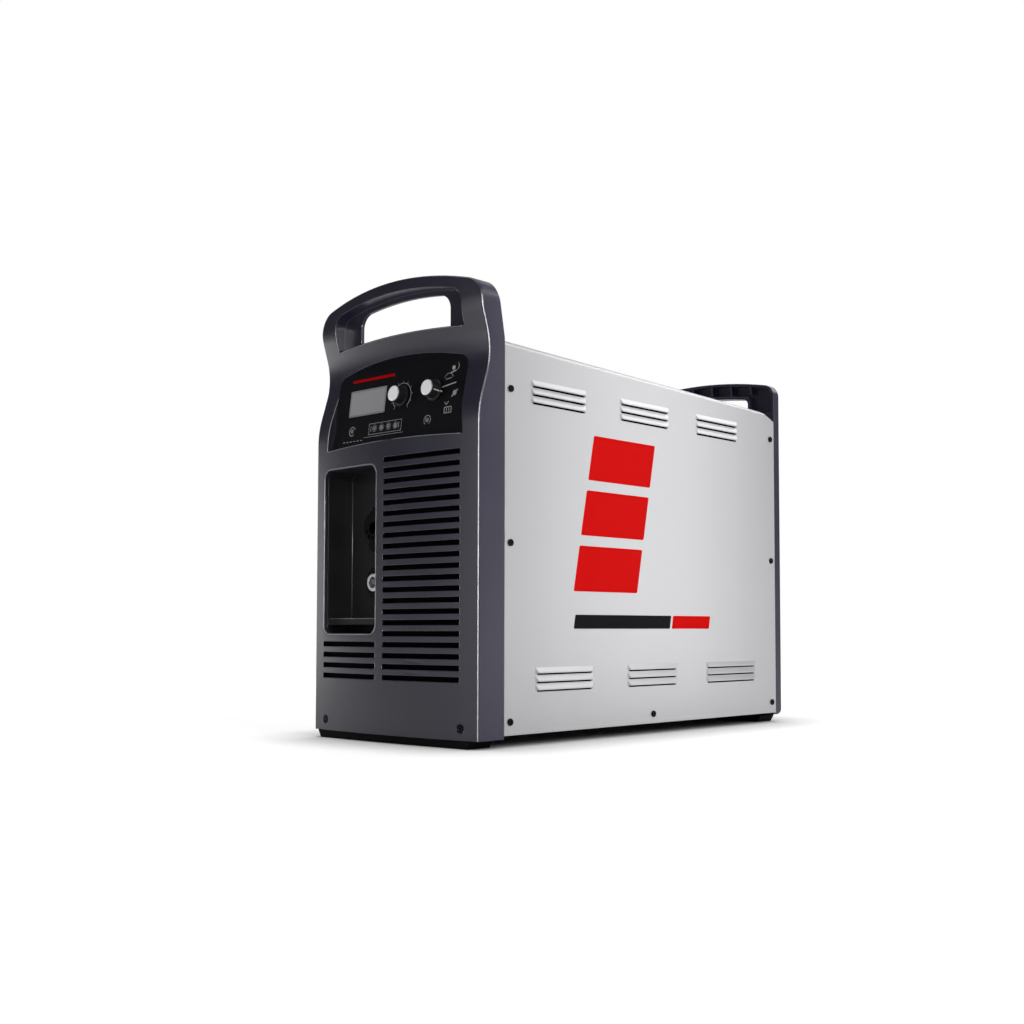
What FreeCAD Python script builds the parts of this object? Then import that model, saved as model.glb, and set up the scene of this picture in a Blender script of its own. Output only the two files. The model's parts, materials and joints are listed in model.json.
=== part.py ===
import FreeCAD, Part
import math
import os

from FreeCAD import Vector, Rotation, Placement

# Plasma cutter power unit, in millimetres.
# +Z is up, the front faces -Y, and the origin is on the floor under the middle of the unit.

# Overall sizes
WIDTH = 274.0
DEPTH = 592.0
HEIGHT = 518.0
FOOT_HEIGHT = 9.0
HALF = WIDTH / 2

# Sheet metal cover
SHEET = 1.5
COVER_TOP = HEIGHT - 85.5
COVER_BOTTOM = 12.6
COVER_FRONT = 47.0
COVER_BEND = 7.0
COVER_LIFT = 6.0
COVER_FALL = 16.0
REAR_SLANT = 32.0
REAR_SLANT_FALL = 12.5
REAR_SLANT_ROUND = 18.0
REAR_BAND = 15.0
FLANGE_DEPTH = 17.0
FRAME_WALL = 3.5
SEAT_GAP = 0.3

# Moulded panels
WALL = 3.5
RIB = 2.2
RIB_PITCH = 33.0
RIBS_EACH_SIDE = 2
RIB_BITE = 0.8
RIB_LIFT = 9.0
FRONT_BOW = 8.0
EDGE_ROUND = 3.0
HANDLE_ARC = 465.0
HANDLE_CORNER = 27.0
HANDLE_REAR_DEPTH = 38.0
LOWER_FACE = HEIGHT - 174.0
LEAN_ARC = 110.0
LEAN_ANGLE = 17.0
LEAN_RUN = 26.0
WAIST_ARC = 80.0
UPPER_RUN = 18.0
TOP_ARC = 60.0

# Front handle opening
GRIP_HALF = HALF - 30.0
GRIP_TOP = HEIGHT - 13.0
GRIP_BOTTOM = HEIGHT - 60.5
GRIP_CORNER = 17.0
GRIP_WEB_DEPTH = 24.0
GRIP_WEB = 4.0
GRIP_INNER_HALF = HALF - 61.0
GRIP_INNER_TOP = HEIGHT - 19.0

# Control recess, its plate and what sits on it
PLATE_HALF_BOTTOM = HALF - 22.0
PLATE_HALF_TOP = HALF - 30.0
PLATE_BOTTOM = HEIGHT - 180.0
PLATE_TOP = HEIGHT - 84.0
PLATE_CORNER = 13.0
PLATE_LEAN = 7.3
PLATE_SETBACK = 9.0
PLATE_THICK = 3.0
PLATE_LEDGE = 5.0
PLATE_GAP = 0.3
SCREEN_X = -HALF + 83.0
SCREEN_Z = PLATE_BOTTOM + 50.5
SCREEN_WIDTH = 64.0
SCREEN_HEIGHT = 31.5
WINDOW_THICK = 2.0
KNOB_Z = PLATE_BOTTOM + 50.0
CURRENT_KNOB_X = 6.0
MODE_KNOB_X = HALF - 76.0
KNOB_RADIUS = 10.5
KNOB_LENGTH = 11.4
KNOB_CAP_RADIUS = 8.8
KNOB_CAP_THICK = 1.6
KNOB_LIFT = 0.6
SHAFT_RADIUS = 3.0
RUN_CLEAR = 0.05
FIT_CLEAR = 0.05
BOARD_STANDOFF = 4.0
CONTROL_BODY_DEPTH = 9.0
ENCODER_SIZE = 13.0
MODE_SWITCH_SIZE = 17.0
POINTER_LENGTH = 5.5
POINTER_TURN = -15.0
LAMP_RADIUS = 2.6
LAMP_Z = PLATE_BOTTOM + 17.5
LAMP_XS = (-76.0, -36.0, -24.0, -12.0, 0.0, 53.0)

# Connector bay
BAY_X = -HALF + 67.5
BAY_HALF = 49.5
BAY_BOTTOM = 121.0
BAY_TOP = HEIGHT - 206.0
BAY_CORNER = 11.0
BAY_DEPTH = 50.0
BAY_WALL = 2.5
COLLAR = 3.0
COLLAR_DEPTH = 11.0
LEDGE_TOP = BAY_BOTTOM + 17.5
LEDGE_LIP = 7.5
LEDGE_THICK = 2.5
SOCKET_X = BAY_X + 6.5
TORCH_Z = BAY_TOP - 67.0
TORCH_RADIUS = 17.5
TORCH_LENGTH = 15.0
TORCH_LOBE_RADIUS = 10.5
TORCH_LOBE_DROP = 19.0
TORCH_BORE = 7.0
TORCH_BORE_DEPTH = 12.0
TORCH_STEM_RADIUS = 8.0
TORCH_STEM_LENGTH = 8.0
CONTACT_RADIUS = 2.0
BUTTON_WIDTH = 11.0
BUTTON_DEPTH = 8.0
BUTTON_HEIGHT = 9.0
BUTTON_TRAVEL = 3.0
WORK_Z = BAY_BOTTOM + 59.3
WORK_RADIUS = 15.0
WORK_RING_RADIUS = 10.4
WORK_BORE = 6.5
WORK_STEM_RADIUS = 9.3
WORK_STEM_LENGTH = 16.0
WORK_BORE_DEPTH = 25.0
WORK_LENGTH = 14.0

# Cooling slots
SLOT_PITCH = 12.16
SLOT_HEIGHT = 5.8
SLOT_TOP_Z = HEIGHT - 202.3
SLOT_LOW = 70.0
SLOT_ROWS = int((SLOT_TOP_Z - SLOT_LOW) / SLOT_PITCH) + 1
SHORT_ROWS = 4
SLOT_LEFT = BAY_X + BAY_HALF + 13.0
SLOT_RIGHT = HALF - 25.5

# Side louvres: both ends of each group, as shares of the cover's length from its front
LOUVRE_PITCH = 9.2
LOUVRE_SLIT = 2.4
LOUVRE_HOOD = 6.2
LOUVRE_BULGE = 2.4
UPPER_LOUVRE_Z = COVER_TOP - 39.2
LOWER_LOUVRE_Z = 77.2
UPPER_GROUPS = ((0.077, 0.253), (0.368, 0.549), (0.655, 0.832))
LOWER_GROUPS = ((0.091, 0.276), (0.393, 0.579), (0.694, 0.906))
LOUVRES_PER_GROUP = 3

# Screws
SCREW_HEAD = 3.9
SCREW_HEAD_HEIGHT = 1.9
SCREW_SHANK = 2.0
SCREW_LENGTH = 7.0
SIDE_SCREW_FRONT = 56.3
SIDE_SCREW_REAR = DEPTH - 25.0
SIDE_SCREW_ZS = (COVER_TOP - 46.5, COVER_TOP / 2 + 2.8, 27.0)
SIDE_SCREW_MIDDLE = DEPTH * 0.515
SIDE_SCREW_LOW_Z = 24.0
PANEL_SCREW_X = HALF - 24.0
PANEL_SCREW_Z = 21.5
PANEL_SCREW_SINK = 2.5

# Feet
FOOT_HALF_TOP = HALF - 9.0
FOOT_SLANT = 5.0
FOOT_WIDTH = 34.0
FOOT_INSET = 6.0
FOOT_REST_TAPER = 1.5

# Rear panel
REAR_TOP = HEIGHT - 41.0
REAR_ARC = 620.0
REAR_CORNER = 17.0
REAR_GRIP_HALF = HALF - 42.0
REAR_GRIP_TOP = REAR_TOP - 22.0
REAR_GRIP_BOTTOM = REAR_TOP - 51.0
REAR_GRIP_CORNER = 8.0
REAR_BOTTOM_CORNER = 8.0
NOOK_X = -HALF + 67.0
NOOK_HALF = 56.0
NOOK_BOTTOM = 36.0
NOOK_TOP = COVER_TOP - 34.5
NOOK_DEPTH = 46.0
NOOK_CORNER = 10.0
INTAKE_HALF = 56.0
INTAKE_ROWS = 13

# Rear fittings, all inside the nook
SWITCH_Z = NOOK_TOP - 48.0
SWITCH_PLATE = 48.0
SWITCH_PLATE_THICK = 5.0
SWITCH_BODY = 40.0
SWITCH_BODY_DEPTH = 42.0
SWITCH_KNOB_RADIUS = 16.0
SWITCH_KNOB_BASE = 6.0
SWITCH_GRIP_HEIGHT = 14.0
SWITCH_GRIP_WIDTH = 8.0
SWITCH_SHAFT_RADIUS = 4.0
GLAND_Z = NOOK_TOP - 106.0
GLAND_BORE = 9.5
GLAND_RADIUS = 13.0
GLAND_NUT_RADIUS = 17.0
GLAND_BODY_LENGTH = 12.0
GLAND_NUT_LENGTH = 14.0
GAS_X = NOOK_X - 28.0
GAS_Z = NOOK_TOP - 170.0
GAS_THREAD_RADIUS = 6.58
GAS_THREAD_LENGTH = 13.0
GAS_HEX = 9.5
GAS_BORE = 3.5
FILTER_X = NOOK_X + 12.0
FILTER_Z = NOOK_TOP - 170.0
FILTER_HEAD_SIZE = 36.0
FILTER_HEAD_HEIGHT = 24.0
BOWL_RADIUS = 15.0
BOWL_LENGTH = 52.0
BOWL_WALL = 2.0
ELEMENT_RADIUS = 9.0
PORT_Z = NOOK_BOTTOM + 36.0
PORT_WIDTH = 34.0
PORT_HEIGHT = 20.0
PORT_DEPTH = 14.0
PORT_WALL = 2.0
PORT_CAP_THICK = 3.0
PORT_PIN_RADIUS = 1.5

# Inner frame and contents
PAN_LIP = 30.0
FAN_X = HALF - 71.0
DIVIDER_X = FAN_X - 79.0
DIVIDER_THICK = 2.0
DIVIDER_FLANGE = 10.0
DIVIDER_TOP = COVER_TOP - 28.5
DIVIDER_FRONT = 60.0
DIVIDER_REAR = DEPTH - 56.0
FAN_SIZE = 128.0
FAN_THICK = 38.0
FAN_Z = 206.0
FAN_RADIUS = 58.0
FAN_TIP_GAP = 2.0
FAN_HUB = 22.0
FAN_BLADES = 7
FAN_BLADE_THICK = 1.8
FAN_SHAFT = 3.0
FAN_RINGS = 5
FAN_WIRE = 1.2
FAN_GUARD_THICK = 3.4
FAN_BACK = DEPTH - 44.0
SINK_FRONT = 150.0
SINK_LENGTH = DEPTH - 352.0
SINK_BASE = 9.0
SINK_FIN = 1.8
SINK_FIN_PITCH = 10.0
SINK_FIN_DEPTH = 66.0
SINK_BOTTOM = 130.0
SINK_HEIGHT = 172.0
BOARD_BOTTOM = 60.0
BOARD_TOP = COVER_TOP - 44.5
BOARD_FRONT = 84.0
BOARD_REAR = DEPTH - 92.0
BOARD_THICK = 1.6
MODULE_DEPTH = 17.0
MODULE_HEIGHT = 62.0
MODULE_LENGTH = 94.0
MODULE_COUNT = 2
MODULE_PITCH = SINK_LENGTH / 2 + 2.0
CAPACITOR_RADIUS = 17.5
CAPACITOR_LENGTH = 50.0
CAPACITOR_COUNT = 4
CAPACITOR_PITCH = 44.0
CAPACITOR_Z = 120.0
SPACER_RADIUS = 4.0
CORE_LENGTH = 70.0
CORE_WIDTH = 92.0
CORE_HEIGHT = 84.0
CORE_LEG = 20.0
CHOKE_RADIUS = 40.0
CHOKE_HOLE = 17.0
CHOKE_HEIGHT = 36.0
VALVE_SIZE = 30.0
VALVE_Z = 52.0
VALVE_DEPTH = 120.0
HOSE_RADIUS = 5.0
HOSE_BEND = 30.0

INNER_HALF = HALF - SHEET - SEAT_GAP
TAN_LEAN = math.tan(math.radians(PLATE_LEAN))
COS_LEAN = math.cos(math.radians(PLATE_LEAN))
BOW_RADIUS = (HALF ** 2 + FRONT_BOW ** 2) / (2 * FRONT_BOW)
BIG = 2000.0
FLOOR = FOOT_HEIGHT + WALL + SHEET
BOARD_DROP = PLATE_THICK + BOARD_STANDOFF
X_AXIS = Vector(1, 0, 0)
Y_AXIS = Vector(0, 1, 0)
Z_AXIS = Vector(0, 0, 1)


def from_front(distance):
    """Y of a plane at this distance behind the front datum."""
    return -DEPTH / 2 + distance


def box(x0, x1, y0, y1, z0, z1):
    return Part.makeBox(x1 - x0, y1 - y0, z1 - z0, Vector(x0, y0, z0))


def rod(x, y, z, axis, radius, length):
    return Part.makeCylinder(radius, length, Vector(x, y, z), axis)


def hexagon(x, y, z, radius, length):
    """Six sided bar along +Y, radius across its corners."""
    points = []
    for step in range(7):
        angle = math.radians(60 * step)
        points.append(Vector(x + radius * math.cos(angle), y, z + radius * math.sin(angle)))
    face = Part.Face(Part.makePolygon(points))
    return face.extrude(Vector(0, length, 0))


def joined(shapes):
    """One solid from shapes that touch or overlap."""
    first = shapes[0]
    if len(shapes) > 1:
        first = first.fuse(shapes[1:])
    return first.removeSplitter()


def rounded(shape, radius, wanted):
    """Fillet the edges for which wanted(edge) is true."""
    edges = [edge for edge in shape.Edges if wanted(edge)]
    if not edges:
        return shape
    return shape.makeFillet(radius, edges)


def along(edge, axis):
    """True for a straight edge that runs along the axis."""
    if not isinstance(edge.Curve, Part.Line):
        return False
    return abs(abs(edge.tangentAt(edge.FirstParameter).dot(axis)) - 1) < 1e-6


def rounded_box(x0, x1, y0, y1, z0, z1, radius, axis):
    """Box whose edges along one axis are rounded."""
    return rounded(box(x0, x1, y0, y1, z0, z1), radius, lambda edge: along(edge, axis))


def arched_prism(half_bottom, half_top, bottom, top, arc, corner_top, corner_bottom, y0, y1,
                 bottom_arc=0.0):
    """Prism along Y with leaning sides, an arched top and, if asked, an arched bottom."""
    def dip(half, radius):
        return radius - math.sqrt(radius ** 2 - half ** 2) if radius else 0.0

    low = bottom - dip(half_bottom, bottom_arc)
    high = top - dip(half_top, arc)
    lower_left, lower_right = Vector(-half_bottom, y0, low), Vector(half_bottom, y0, low)
    upper_left, upper_right = Vector(-half_top, y0, high), Vector(half_top, y0, high)
    if bottom_arc:
        floor_edge = Part.Arc(lower_left, Vector(0, y0, bottom), lower_right).toShape()
    else:
        floor_edge = Part.LineSegment(lower_left, lower_right).toShape()
    wire = Part.Wire([floor_edge, Part.LineSegment(lower_right, upper_right).toShape(),
                      Part.Arc(upper_right, Vector(0, y0, top), upper_left).toShape(),
                      Part.LineSegment(upper_left, lower_left).toShape()])
    body = Part.Face(wire).extrude(Vector(0, y1 - y0, 0))
    middle = (bottom + top) / 2

    def upper(edge):
        return along(edge, Y_AXIS) and edge.CenterOfMass.z > middle

    def lower(edge):
        return along(edge, Y_AXIS) and edge.CenterOfMass.z < middle

    if corner_top:
        body = rounded(body, corner_top, upper)
    if corner_bottom:
        body = rounded(body, corner_bottom, lower)
    return body


def tangent_run(start, moves):
    """Edges of lines and arcs in the YZ plane that follow each other smoothly, starting upwards."""
    y, z = start
    heading = 0.0
    edges = []
    for move in moves:
        if move[0] == "line":
            end = (y + move[1] * math.sin(heading), z + move[1] * math.cos(heading))
            edges.append(Part.LineSegment(Vector(0, y, z), Vector(0, end[0], end[1])).toShape())
        else:
            radius, turn = move[1], math.radians(move[2])
            side = 1 if turn > 0 else -1
            centre = (y + side * radius * math.cos(heading), z - side * radius * math.sin(heading))

            def on_arc(part):
                angle = heading + turn * part
                return (centre[0] - side * radius * math.cos(angle),
                        centre[1] + side * radius * math.sin(angle))

            mid, end = on_arc(0.5), on_arc(1.0)
            edges.append(Part.Arc(Vector(0, y, z), Vector(0, mid[0], mid[1]),
                                  Vector(0, end[0], end[1])).toShape())
            heading += turn
        y, z = end
    return edges, (y, z)


def front_surface_solid(setback, bottom):
    """Everything behind the bowed, waisted front surface, moved back by setback."""
    start = (from_front(setback), bottom)
    moves = [("line", LOWER_FACE - bottom), ("arc", LEAN_ARC, LEAN_ANGLE), ("line", LEAN_RUN),
             ("arc", WAIST_ARC, -2 * LEAN_ANGLE), ("line", UPPER_RUN), ("arc", TOP_ARC, LEAN_ANGLE),
             ("line", HEIGHT)]
    edges, end = tangent_run(start, moves)
    back = from_front(2 * COVER_FRONT)
    corners = [Vector(0, end[0], end[1]), Vector(0, back, end[1]), Vector(0, back, start[1]),
               Vector(0, start[0], start[1])]
    for one, two in zip(corners, corners[1:]):
        edges.append(Part.LineSegment(one, two).toShape())
    face = Part.Face(Part.Wire(edges))
    swing = 1.5 * math.degrees(math.asin(HALF / BOW_RADIUS))
    pivot = Vector(0, from_front(0) + BOW_RADIUS, 0)
    face.rotate(pivot, Z_AXIS, -swing)
    return face.revolve(pivot, Z_AXIS, 2 * swing)


def side_limit():
    """Prism that gives the front panel its rear outline as seen from the side."""
    front = from_front(-10)
    rear = from_front(COVER_FRONT)
    top_rear = from_front(HANDLE_REAR_DEPTH)
    points = [Vector(-HALF, front, 0), Vector(-HALF, rear, 0), Vector(-HALF, rear, COVER_TOP + 8),
              Vector(-HALF, top_rear, HEIGHT - 28), Vector(-HALF, top_rear, HEIGHT + 10),
              Vector(-HALF, front, HEIGHT + 10)]
    face = Part.Face(Part.makePolygon(points + points[:1]))
    return face.extrude(Vector(WIDTH, 0, 0))


def plate_y(z, depth=0.0):
    """Y of the control plate's front at this height, or of a plane that much deeper."""
    return from_front(PLATE_SETBACK) + (z - PLATE_BOTTOM) * TAN_LEAN + depth / COS_LEAN


def plate_slab(front_depth, back_depth):
    """Everything between two planes parallel to the control plate."""
    low, high = PLATE_BOTTOM - 60, PLATE_TOP + 60
    points = []
    for z, depth in ((low, front_depth), (high, front_depth), (high, back_depth), (low, back_depth)):
        points.append(Vector(-HALF, plate_y(z, depth), z))
    face = Part.Face(Part.makePolygon(points + points[:1]))
    return face.extrude(Vector(WIDTH, 0, 0))


def recess_prism(offset):
    """The control recess seen from the front, grown by offset."""
    return arched_prism(PLATE_HALF_BOTTOM + offset, PLATE_HALF_TOP + offset, PLATE_BOTTOM - offset,
                        PLATE_TOP + offset, HANDLE_ARC + offset, PLATE_CORNER + offset, max(2 + offset, 1),
                        from_front(-20), from_front(2 * COVER_FRONT), 4 * HANDLE_ARC)


def grip_prism(half, top, corner, y0, y1, offset=0.0):
    """The front handle's opening seen from the front, grown by offset."""
    return arched_prism(half + offset, half + offset, GRIP_BOTTOM - offset, top + offset,
                        HANDLE_ARC - HEIGHT + top + offset, corner + offset, 3 + offset / 2, y0, y1,
                        3 * HANDLE_ARC)


def bay_prism(offset, y0, y1):
    """The bay's opening seen from the front, grown by offset."""
    return rounded_box(BAY_X - BAY_HALF - offset, BAY_X + BAY_HALF + offset, y0, y1,
                       BAY_BOTTOM - offset, BAY_TOP + offset, BAY_CORNER + offset, Y_AXIS)


def slot_cutters(left, right, top, rows, y0, y1):
    """Horizontal slots, one under the other."""
    slots = []
    for row in range(rows):
        z = top - row * SLOT_PITCH
        slots.append(box(left, right, y0, y1, z - SLOT_HEIGHT / 2, z + SLOT_HEIGHT / 2))
    return slots


def panel_screw_xs():
    return (-PANEL_SCREW_X, PANEL_SCREW_X)


def front_screw_y(x):
    """Y where a sunk front screw's head rests."""
    return from_front(FRONT_BOW * (x / HALF) ** 2 + PANEL_SCREW_SINK)


def front_panel():
    outline = arched_prism(HALF, HALF, FOOT_HEIGHT, HEIGHT, HANDLE_ARC, HANDLE_CORNER, 0,
                           from_front(-10), from_front(2 * COVER_FRONT))
    body = front_surface_solid(0, FOOT_HEIGHT - 5).common([outline]).common(side_limit())

    def front_rim(edge):
        middle = edge.CenterOfMass
        on_side = abs(middle.x) > HALF - HANDLE_CORNER / 2 and middle.z > FOOT_HEIGHT + 1
        on_top = middle.z > HEIGHT - HANDLE_CORNER / 2
        near_front = middle.y < from_front(32)
        return near_front and not along(edge, Y_AXIS) and (on_side or on_top)

    body = rounded(body, EDGE_ROUND, front_rim)

    inner_outline = arched_prism(HALF - WALL, HALF - WALL, FOOT_HEIGHT + WALL, HEIGHT - WALL - 1,
                                 HANDLE_ARC - WALL, HANDLE_CORNER - WALL, 1.0,
                                 from_front(-10), from_front(2 * COVER_FRONT))
    hollow = front_surface_solid(WALL, FOOT_HEIGHT - 5).common(inner_outline)
    body = body.cut(hollow)

    grip_back = from_front(GRIP_WEB_DEPTH + GRIP_WEB)
    grip_cup = grip_prism(GRIP_HALF, GRIP_TOP, GRIP_CORNER, from_front(0), grip_back, WALL)
    inside = front_surface_solid(WALL / 2, FOOT_HEIGHT - 5).common(side_limit())
    additions = [grip_cup.common(inside)]
    rib_space = front_surface_solid(WALL - RIB_BITE, FOOT_HEIGHT - 5).common(
        arched_prism(HALF - WALL + RIB_BITE, HALF - WALL + RIB_BITE, FOOT_HEIGHT + WALL,
                     HEIGHT - WALL - 1 + RIB_BITE, HANDLE_ARC - WALL, HANDLE_CORNER - WALL, 1.0,
                     from_front(-10), from_front(2 * COVER_FRONT)))
    below = grip_prism(GRIP_HALF, GRIP_INNER_TOP + RIB_LIFT, GRIP_CORNER, from_front(-5),
                       from_front(2 * COVER_FRONT))
    for index in range(-RIBS_EACH_SIDE, RIBS_EACH_SIDE + 1):
        x = index * RIB_PITCH
        rib = box(x - RIB / 2, x + RIB / 2, from_front(0), from_front(HANDLE_REAR_DEPTH - 1),
                  GRIP_BOTTOM, HEIGHT)
        additions.append(rib.common(rib_space).cut(below))

    recess_tub = recess_prism(WALL).common(plate_slab(-60, PLATE_THICK + WALL))
    additions.append(recess_tub.common(inside))

    collar = bay_prism(COLLAR, from_front(0), from_front(COLLAR_DEPTH))
    additions.append(collar.common(inside))

    for x in panel_screw_xs():
        boss = rod(x, front_screw_y(x) - 1, PANEL_SCREW_Z, Y_AXIS, SCREW_HEAD + 2.5, 14)
        additions.append(boss.common(inside))

    seat_top = cover_top_at(from_front(COVER_FRONT + FLANGE_DEPTH)) - SHEET - SEAT_GAP
    bridge = box(-HALF + 1, HALF - 1, from_front(COVER_FRONT - 12), from_front(COVER_FRONT),
                 seat_top - WALL, seat_top)
    additions.append(bridge.common(inside))
    for side in (-1, 1):
        low, high = sorted((side * (HALF - 1), side * (INNER_HALF - FRAME_WALL)))
        additions.append(box(low, high, from_front(COVER_FRONT - 6), from_front(COVER_FRONT),
                             FOOT_HEIGHT + WALL, seat_top))
    body = joined([body] + additions)

    cutters = [grip_prism(GRIP_HALF, GRIP_TOP, GRIP_CORNER, from_front(-20), from_front(GRIP_WEB_DEPTH))]
    inner = arched_prism(GRIP_INNER_HALF, GRIP_INNER_HALF, GRIP_BOTTOM, GRIP_INNER_TOP,
                         HANDLE_ARC - HEIGHT + GRIP_INNER_TOP, GRIP_CORNER, 3,
                         from_front(0), from_front(2 * COVER_FRONT), 3 * HANDLE_ARC)
    cutters.append(inner)
    cutters.append(recess_prism(0).common(plate_slab(-80, PLATE_THICK)))
    cutters.append(recess_prism(-PLATE_LEDGE).common(plate_slab(-80, 80)))
    cutters.append(bay_prism(0, from_front(-10), from_front(COLLAR_DEPTH + 1)))
    through = from_front(COLLAR_DEPTH + 4)
    cutters += slot_cutters(SLOT_LEFT, SLOT_RIGHT, SLOT_TOP_Z, SLOT_ROWS, from_front(-10), through)
    short_top = SLOT_TOP_Z - (SLOT_ROWS - SHORT_ROWS) * SLOT_PITCH
    cutters += slot_cutters(BAY_X - BAY_HALF, BAY_X + BAY_HALF, short_top, SHORT_ROWS,
                            from_front(-10), through)
    for x in panel_screw_xs():
        head_y = front_screw_y(x)
        cutters.append(rod(x, head_y - 20, PANEL_SCREW_Z, Y_AXIS, SCREW_HEAD + 1.3, 20))
        cutters.append(rod(x, head_y - 1, PANEL_SCREW_Z, Y_AXIS, SCREW_SHANK + 0.1, 30))
    return body.cut(cutters)


def end_frame(y0, y1, top, corner):
    """Inner frame of one end: two side walls and a top wall, open below."""
    outer = box(-INNER_HALF, INNER_HALF, y0, y1, FLOOR, top)
    if corner:
        outer = rounded(outer, corner, lambda edge: along(edge, Y_AXIS) and edge.CenterOfMass.z > FLOOR + 1)
    inner = box(-INNER_HALF + FRAME_WALL, INNER_HALF - FRAME_WALL, y0 - 1, y1 + 1, FLOOR - 1,
                top - FRAME_WALL)
    return outer.cut(inner)


def front_frame():
    back = from_front(COVER_FRONT + FLANGE_DEPTH)
    frame = end_frame(from_front(COVER_FRONT), back, cover_top_at(back) - SHEET - SEAT_GAP,
                      COVER_BEND - SHEET)
    holes = [rod(-HALF, from_front(SIDE_SCREW_FRONT), z, X_AXIS, SCREW_SHANK + 0.1, WIDTH)
             for z in SIDE_SCREW_ZS]
    return frame.cut(holes)


def rear_frame_top():
    return slant_z(from_front(DEPTH - REAR_BAND)) - SHEET - 2


def rear_frame():
    front = from_front(DEPTH - REAR_BAND)
    frame = end_frame(front - FLANGE_DEPTH, front, rear_frame_top(), 0)
    holes = [rod(-HALF, from_front(SIDE_SCREW_REAR), z, X_AXIS, SCREW_SHANK + 0.1, WIDTH)
             for z in SIDE_SCREW_ZS]
    return frame.cut(holes)


def louvre_parts(side, y0, y1, slit_z):
    """A pressed hood on one side wall, the hollow under it, and its slit."""
    face_x = side * HALF
    out = side * LOUVRE_BULGE
    top = slit_z + LOUVRE_SLIT / 2 + LOUVRE_HOOD
    base = slit_z + LOUVRE_SLIT / 2 - 0.6
    end = 3.5

    def hood(grow, inset):
        rings = []
        for x, shrink in ((face_x - side * 0.2, 0.0), (face_x + out, end)):
            low_y, high_y = y0 + shrink + inset, y1 - shrink - inset
            high_z = top - inset - (LOUVRE_HOOD - 0.8 if shrink else 0.0)
            points = [Vector(x + grow, low_y, base), Vector(x + grow, high_y, base),
                      Vector(x + grow, high_y, high_z), Vector(x + grow, low_y, high_z)]
            rings.append(Part.makePolygon(points + points[:1]))
        return Part.makeLoft(rings, True, True)

    outer = hood(0.0, 0.0)
    inner = hood(-side * 1.1, 0.9)
    inner.translate(Vector(0, 0, -0.5))
    low, high = sorted((face_x - side * (SHEET + 1), face_x + side * (LOUVRE_BULGE - 1.0)))
    slit = box(low, high, y0 + end, y1 - end, slit_z - LOUVRE_SLIT / 2, slit_z + LOUVRE_SLIT / 2)
    return outer, [inner, slit]


def side_screw_places():
    places = []
    for z in SIDE_SCREW_ZS:
        places.append((SIDE_SCREW_FRONT, z))
        places.append((SIDE_SCREW_REAR, z))
    places.append((SIDE_SCREW_MIDDLE, SIDE_SCREW_LOW_Z))
    return places


def cover_top_at(y):
    """Height of the cover's sloping top at this Y."""
    share = (y - from_front(COVER_FRONT)) / (DEPTH - COVER_FRONT - REAR_BAND)
    return COVER_TOP + COVER_LIFT - COVER_FALL * share


def knee_y():
    """Y where the cover's top begins to slant down to the rear panel."""
    return from_front(DEPTH - REAR_BAND - REAR_SLANT)


def slant_z(y):
    """Height of the slanted last stretch of the cover's top at this Y."""
    return cover_top_at(knee_y()) - (y - knee_y()) * REAR_SLANT_FALL / REAR_SLANT


def cover():
    y0, y1 = from_front(COVER_FRONT + SEAT_GAP), from_front(DEPTH - REAR_BAND - SEAT_GAP)

    def side_outline(half, start, stop, points):
        """Prism across the unit from its outline seen from the side."""
        outline = [Vector(-half, start, 0)] + [Vector(-half, y, z) for y, z in points]
        outline.append(Vector(-half, stop, 0))
        return Part.Face(Part.makePolygon(outline + outline[:1])).extrude(Vector(2 * half, 0, 0))

    def shell(inset, reach):
        """Cover as a solid block, its skin moved in by inset and its ends moved out by reach."""
        start, stop, knee = y0 - reach, y1 + reach, knee_y()
        body = side_outline(HALF - inset, start, stop, [(start, cover_top_at(start) - inset),
                                                        (stop, cover_top_at(stop) - inset)])
        body = rounded(body, COVER_BEND - inset / 2,
                       lambda edge: abs(edge.CenterOfMass.x) > HALF - inset - 1
                       and edge.CenterOfMass.z > 0.9 * COVER_TOP)
        drop = side_outline(HALF + 1, start - 5, stop, [(start - 5, cover_top_at(start - 5) - inset),
                                                        (knee, cover_top_at(knee) - inset),
                                                        (stop, slant_z(stop) - inset)])
        drop = rounded(drop, REAR_SLANT_ROUND,
                       lambda edge: along(edge, X_AXIS) and abs(edge.CenterOfMass.y - knee) < 1
                       and edge.CenterOfMass.z > 0.9 * COVER_TOP)
        return body.common(drop)

    body = shell(0, 0).cut(shell(SHEET, SHEET))
    body = body.cut(box(-BIG, BIG, -BIG, BIG, -10, COVER_BOTTOM))
    hoods, cutters = [], []
    for side in (-1, 1):
        for groups, top_z in ((UPPER_GROUPS, UPPER_LOUVRE_Z), (LOWER_GROUPS, LOWER_LOUVRE_Z)):
            for near, far in groups:
                for index in range(LOUVRES_PER_GROUP):
                    slit_z = top_z - index * LOUVRE_PITCH
                    hood, cuts = louvre_parts(side, y0 + near * (y1 - y0), y0 + far * (y1 - y0), slit_z)
                    hoods.append(hood)
                    cutters += cuts
    body = joined([body] + hoods)
    for depth, z in side_screw_places():
        cutters.append(rod(-HALF - 1, from_front(depth), z, X_AXIS, SCREW_SHANK + 0.2, WIDTH + 2))
    return body.cut(cutters)


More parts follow.
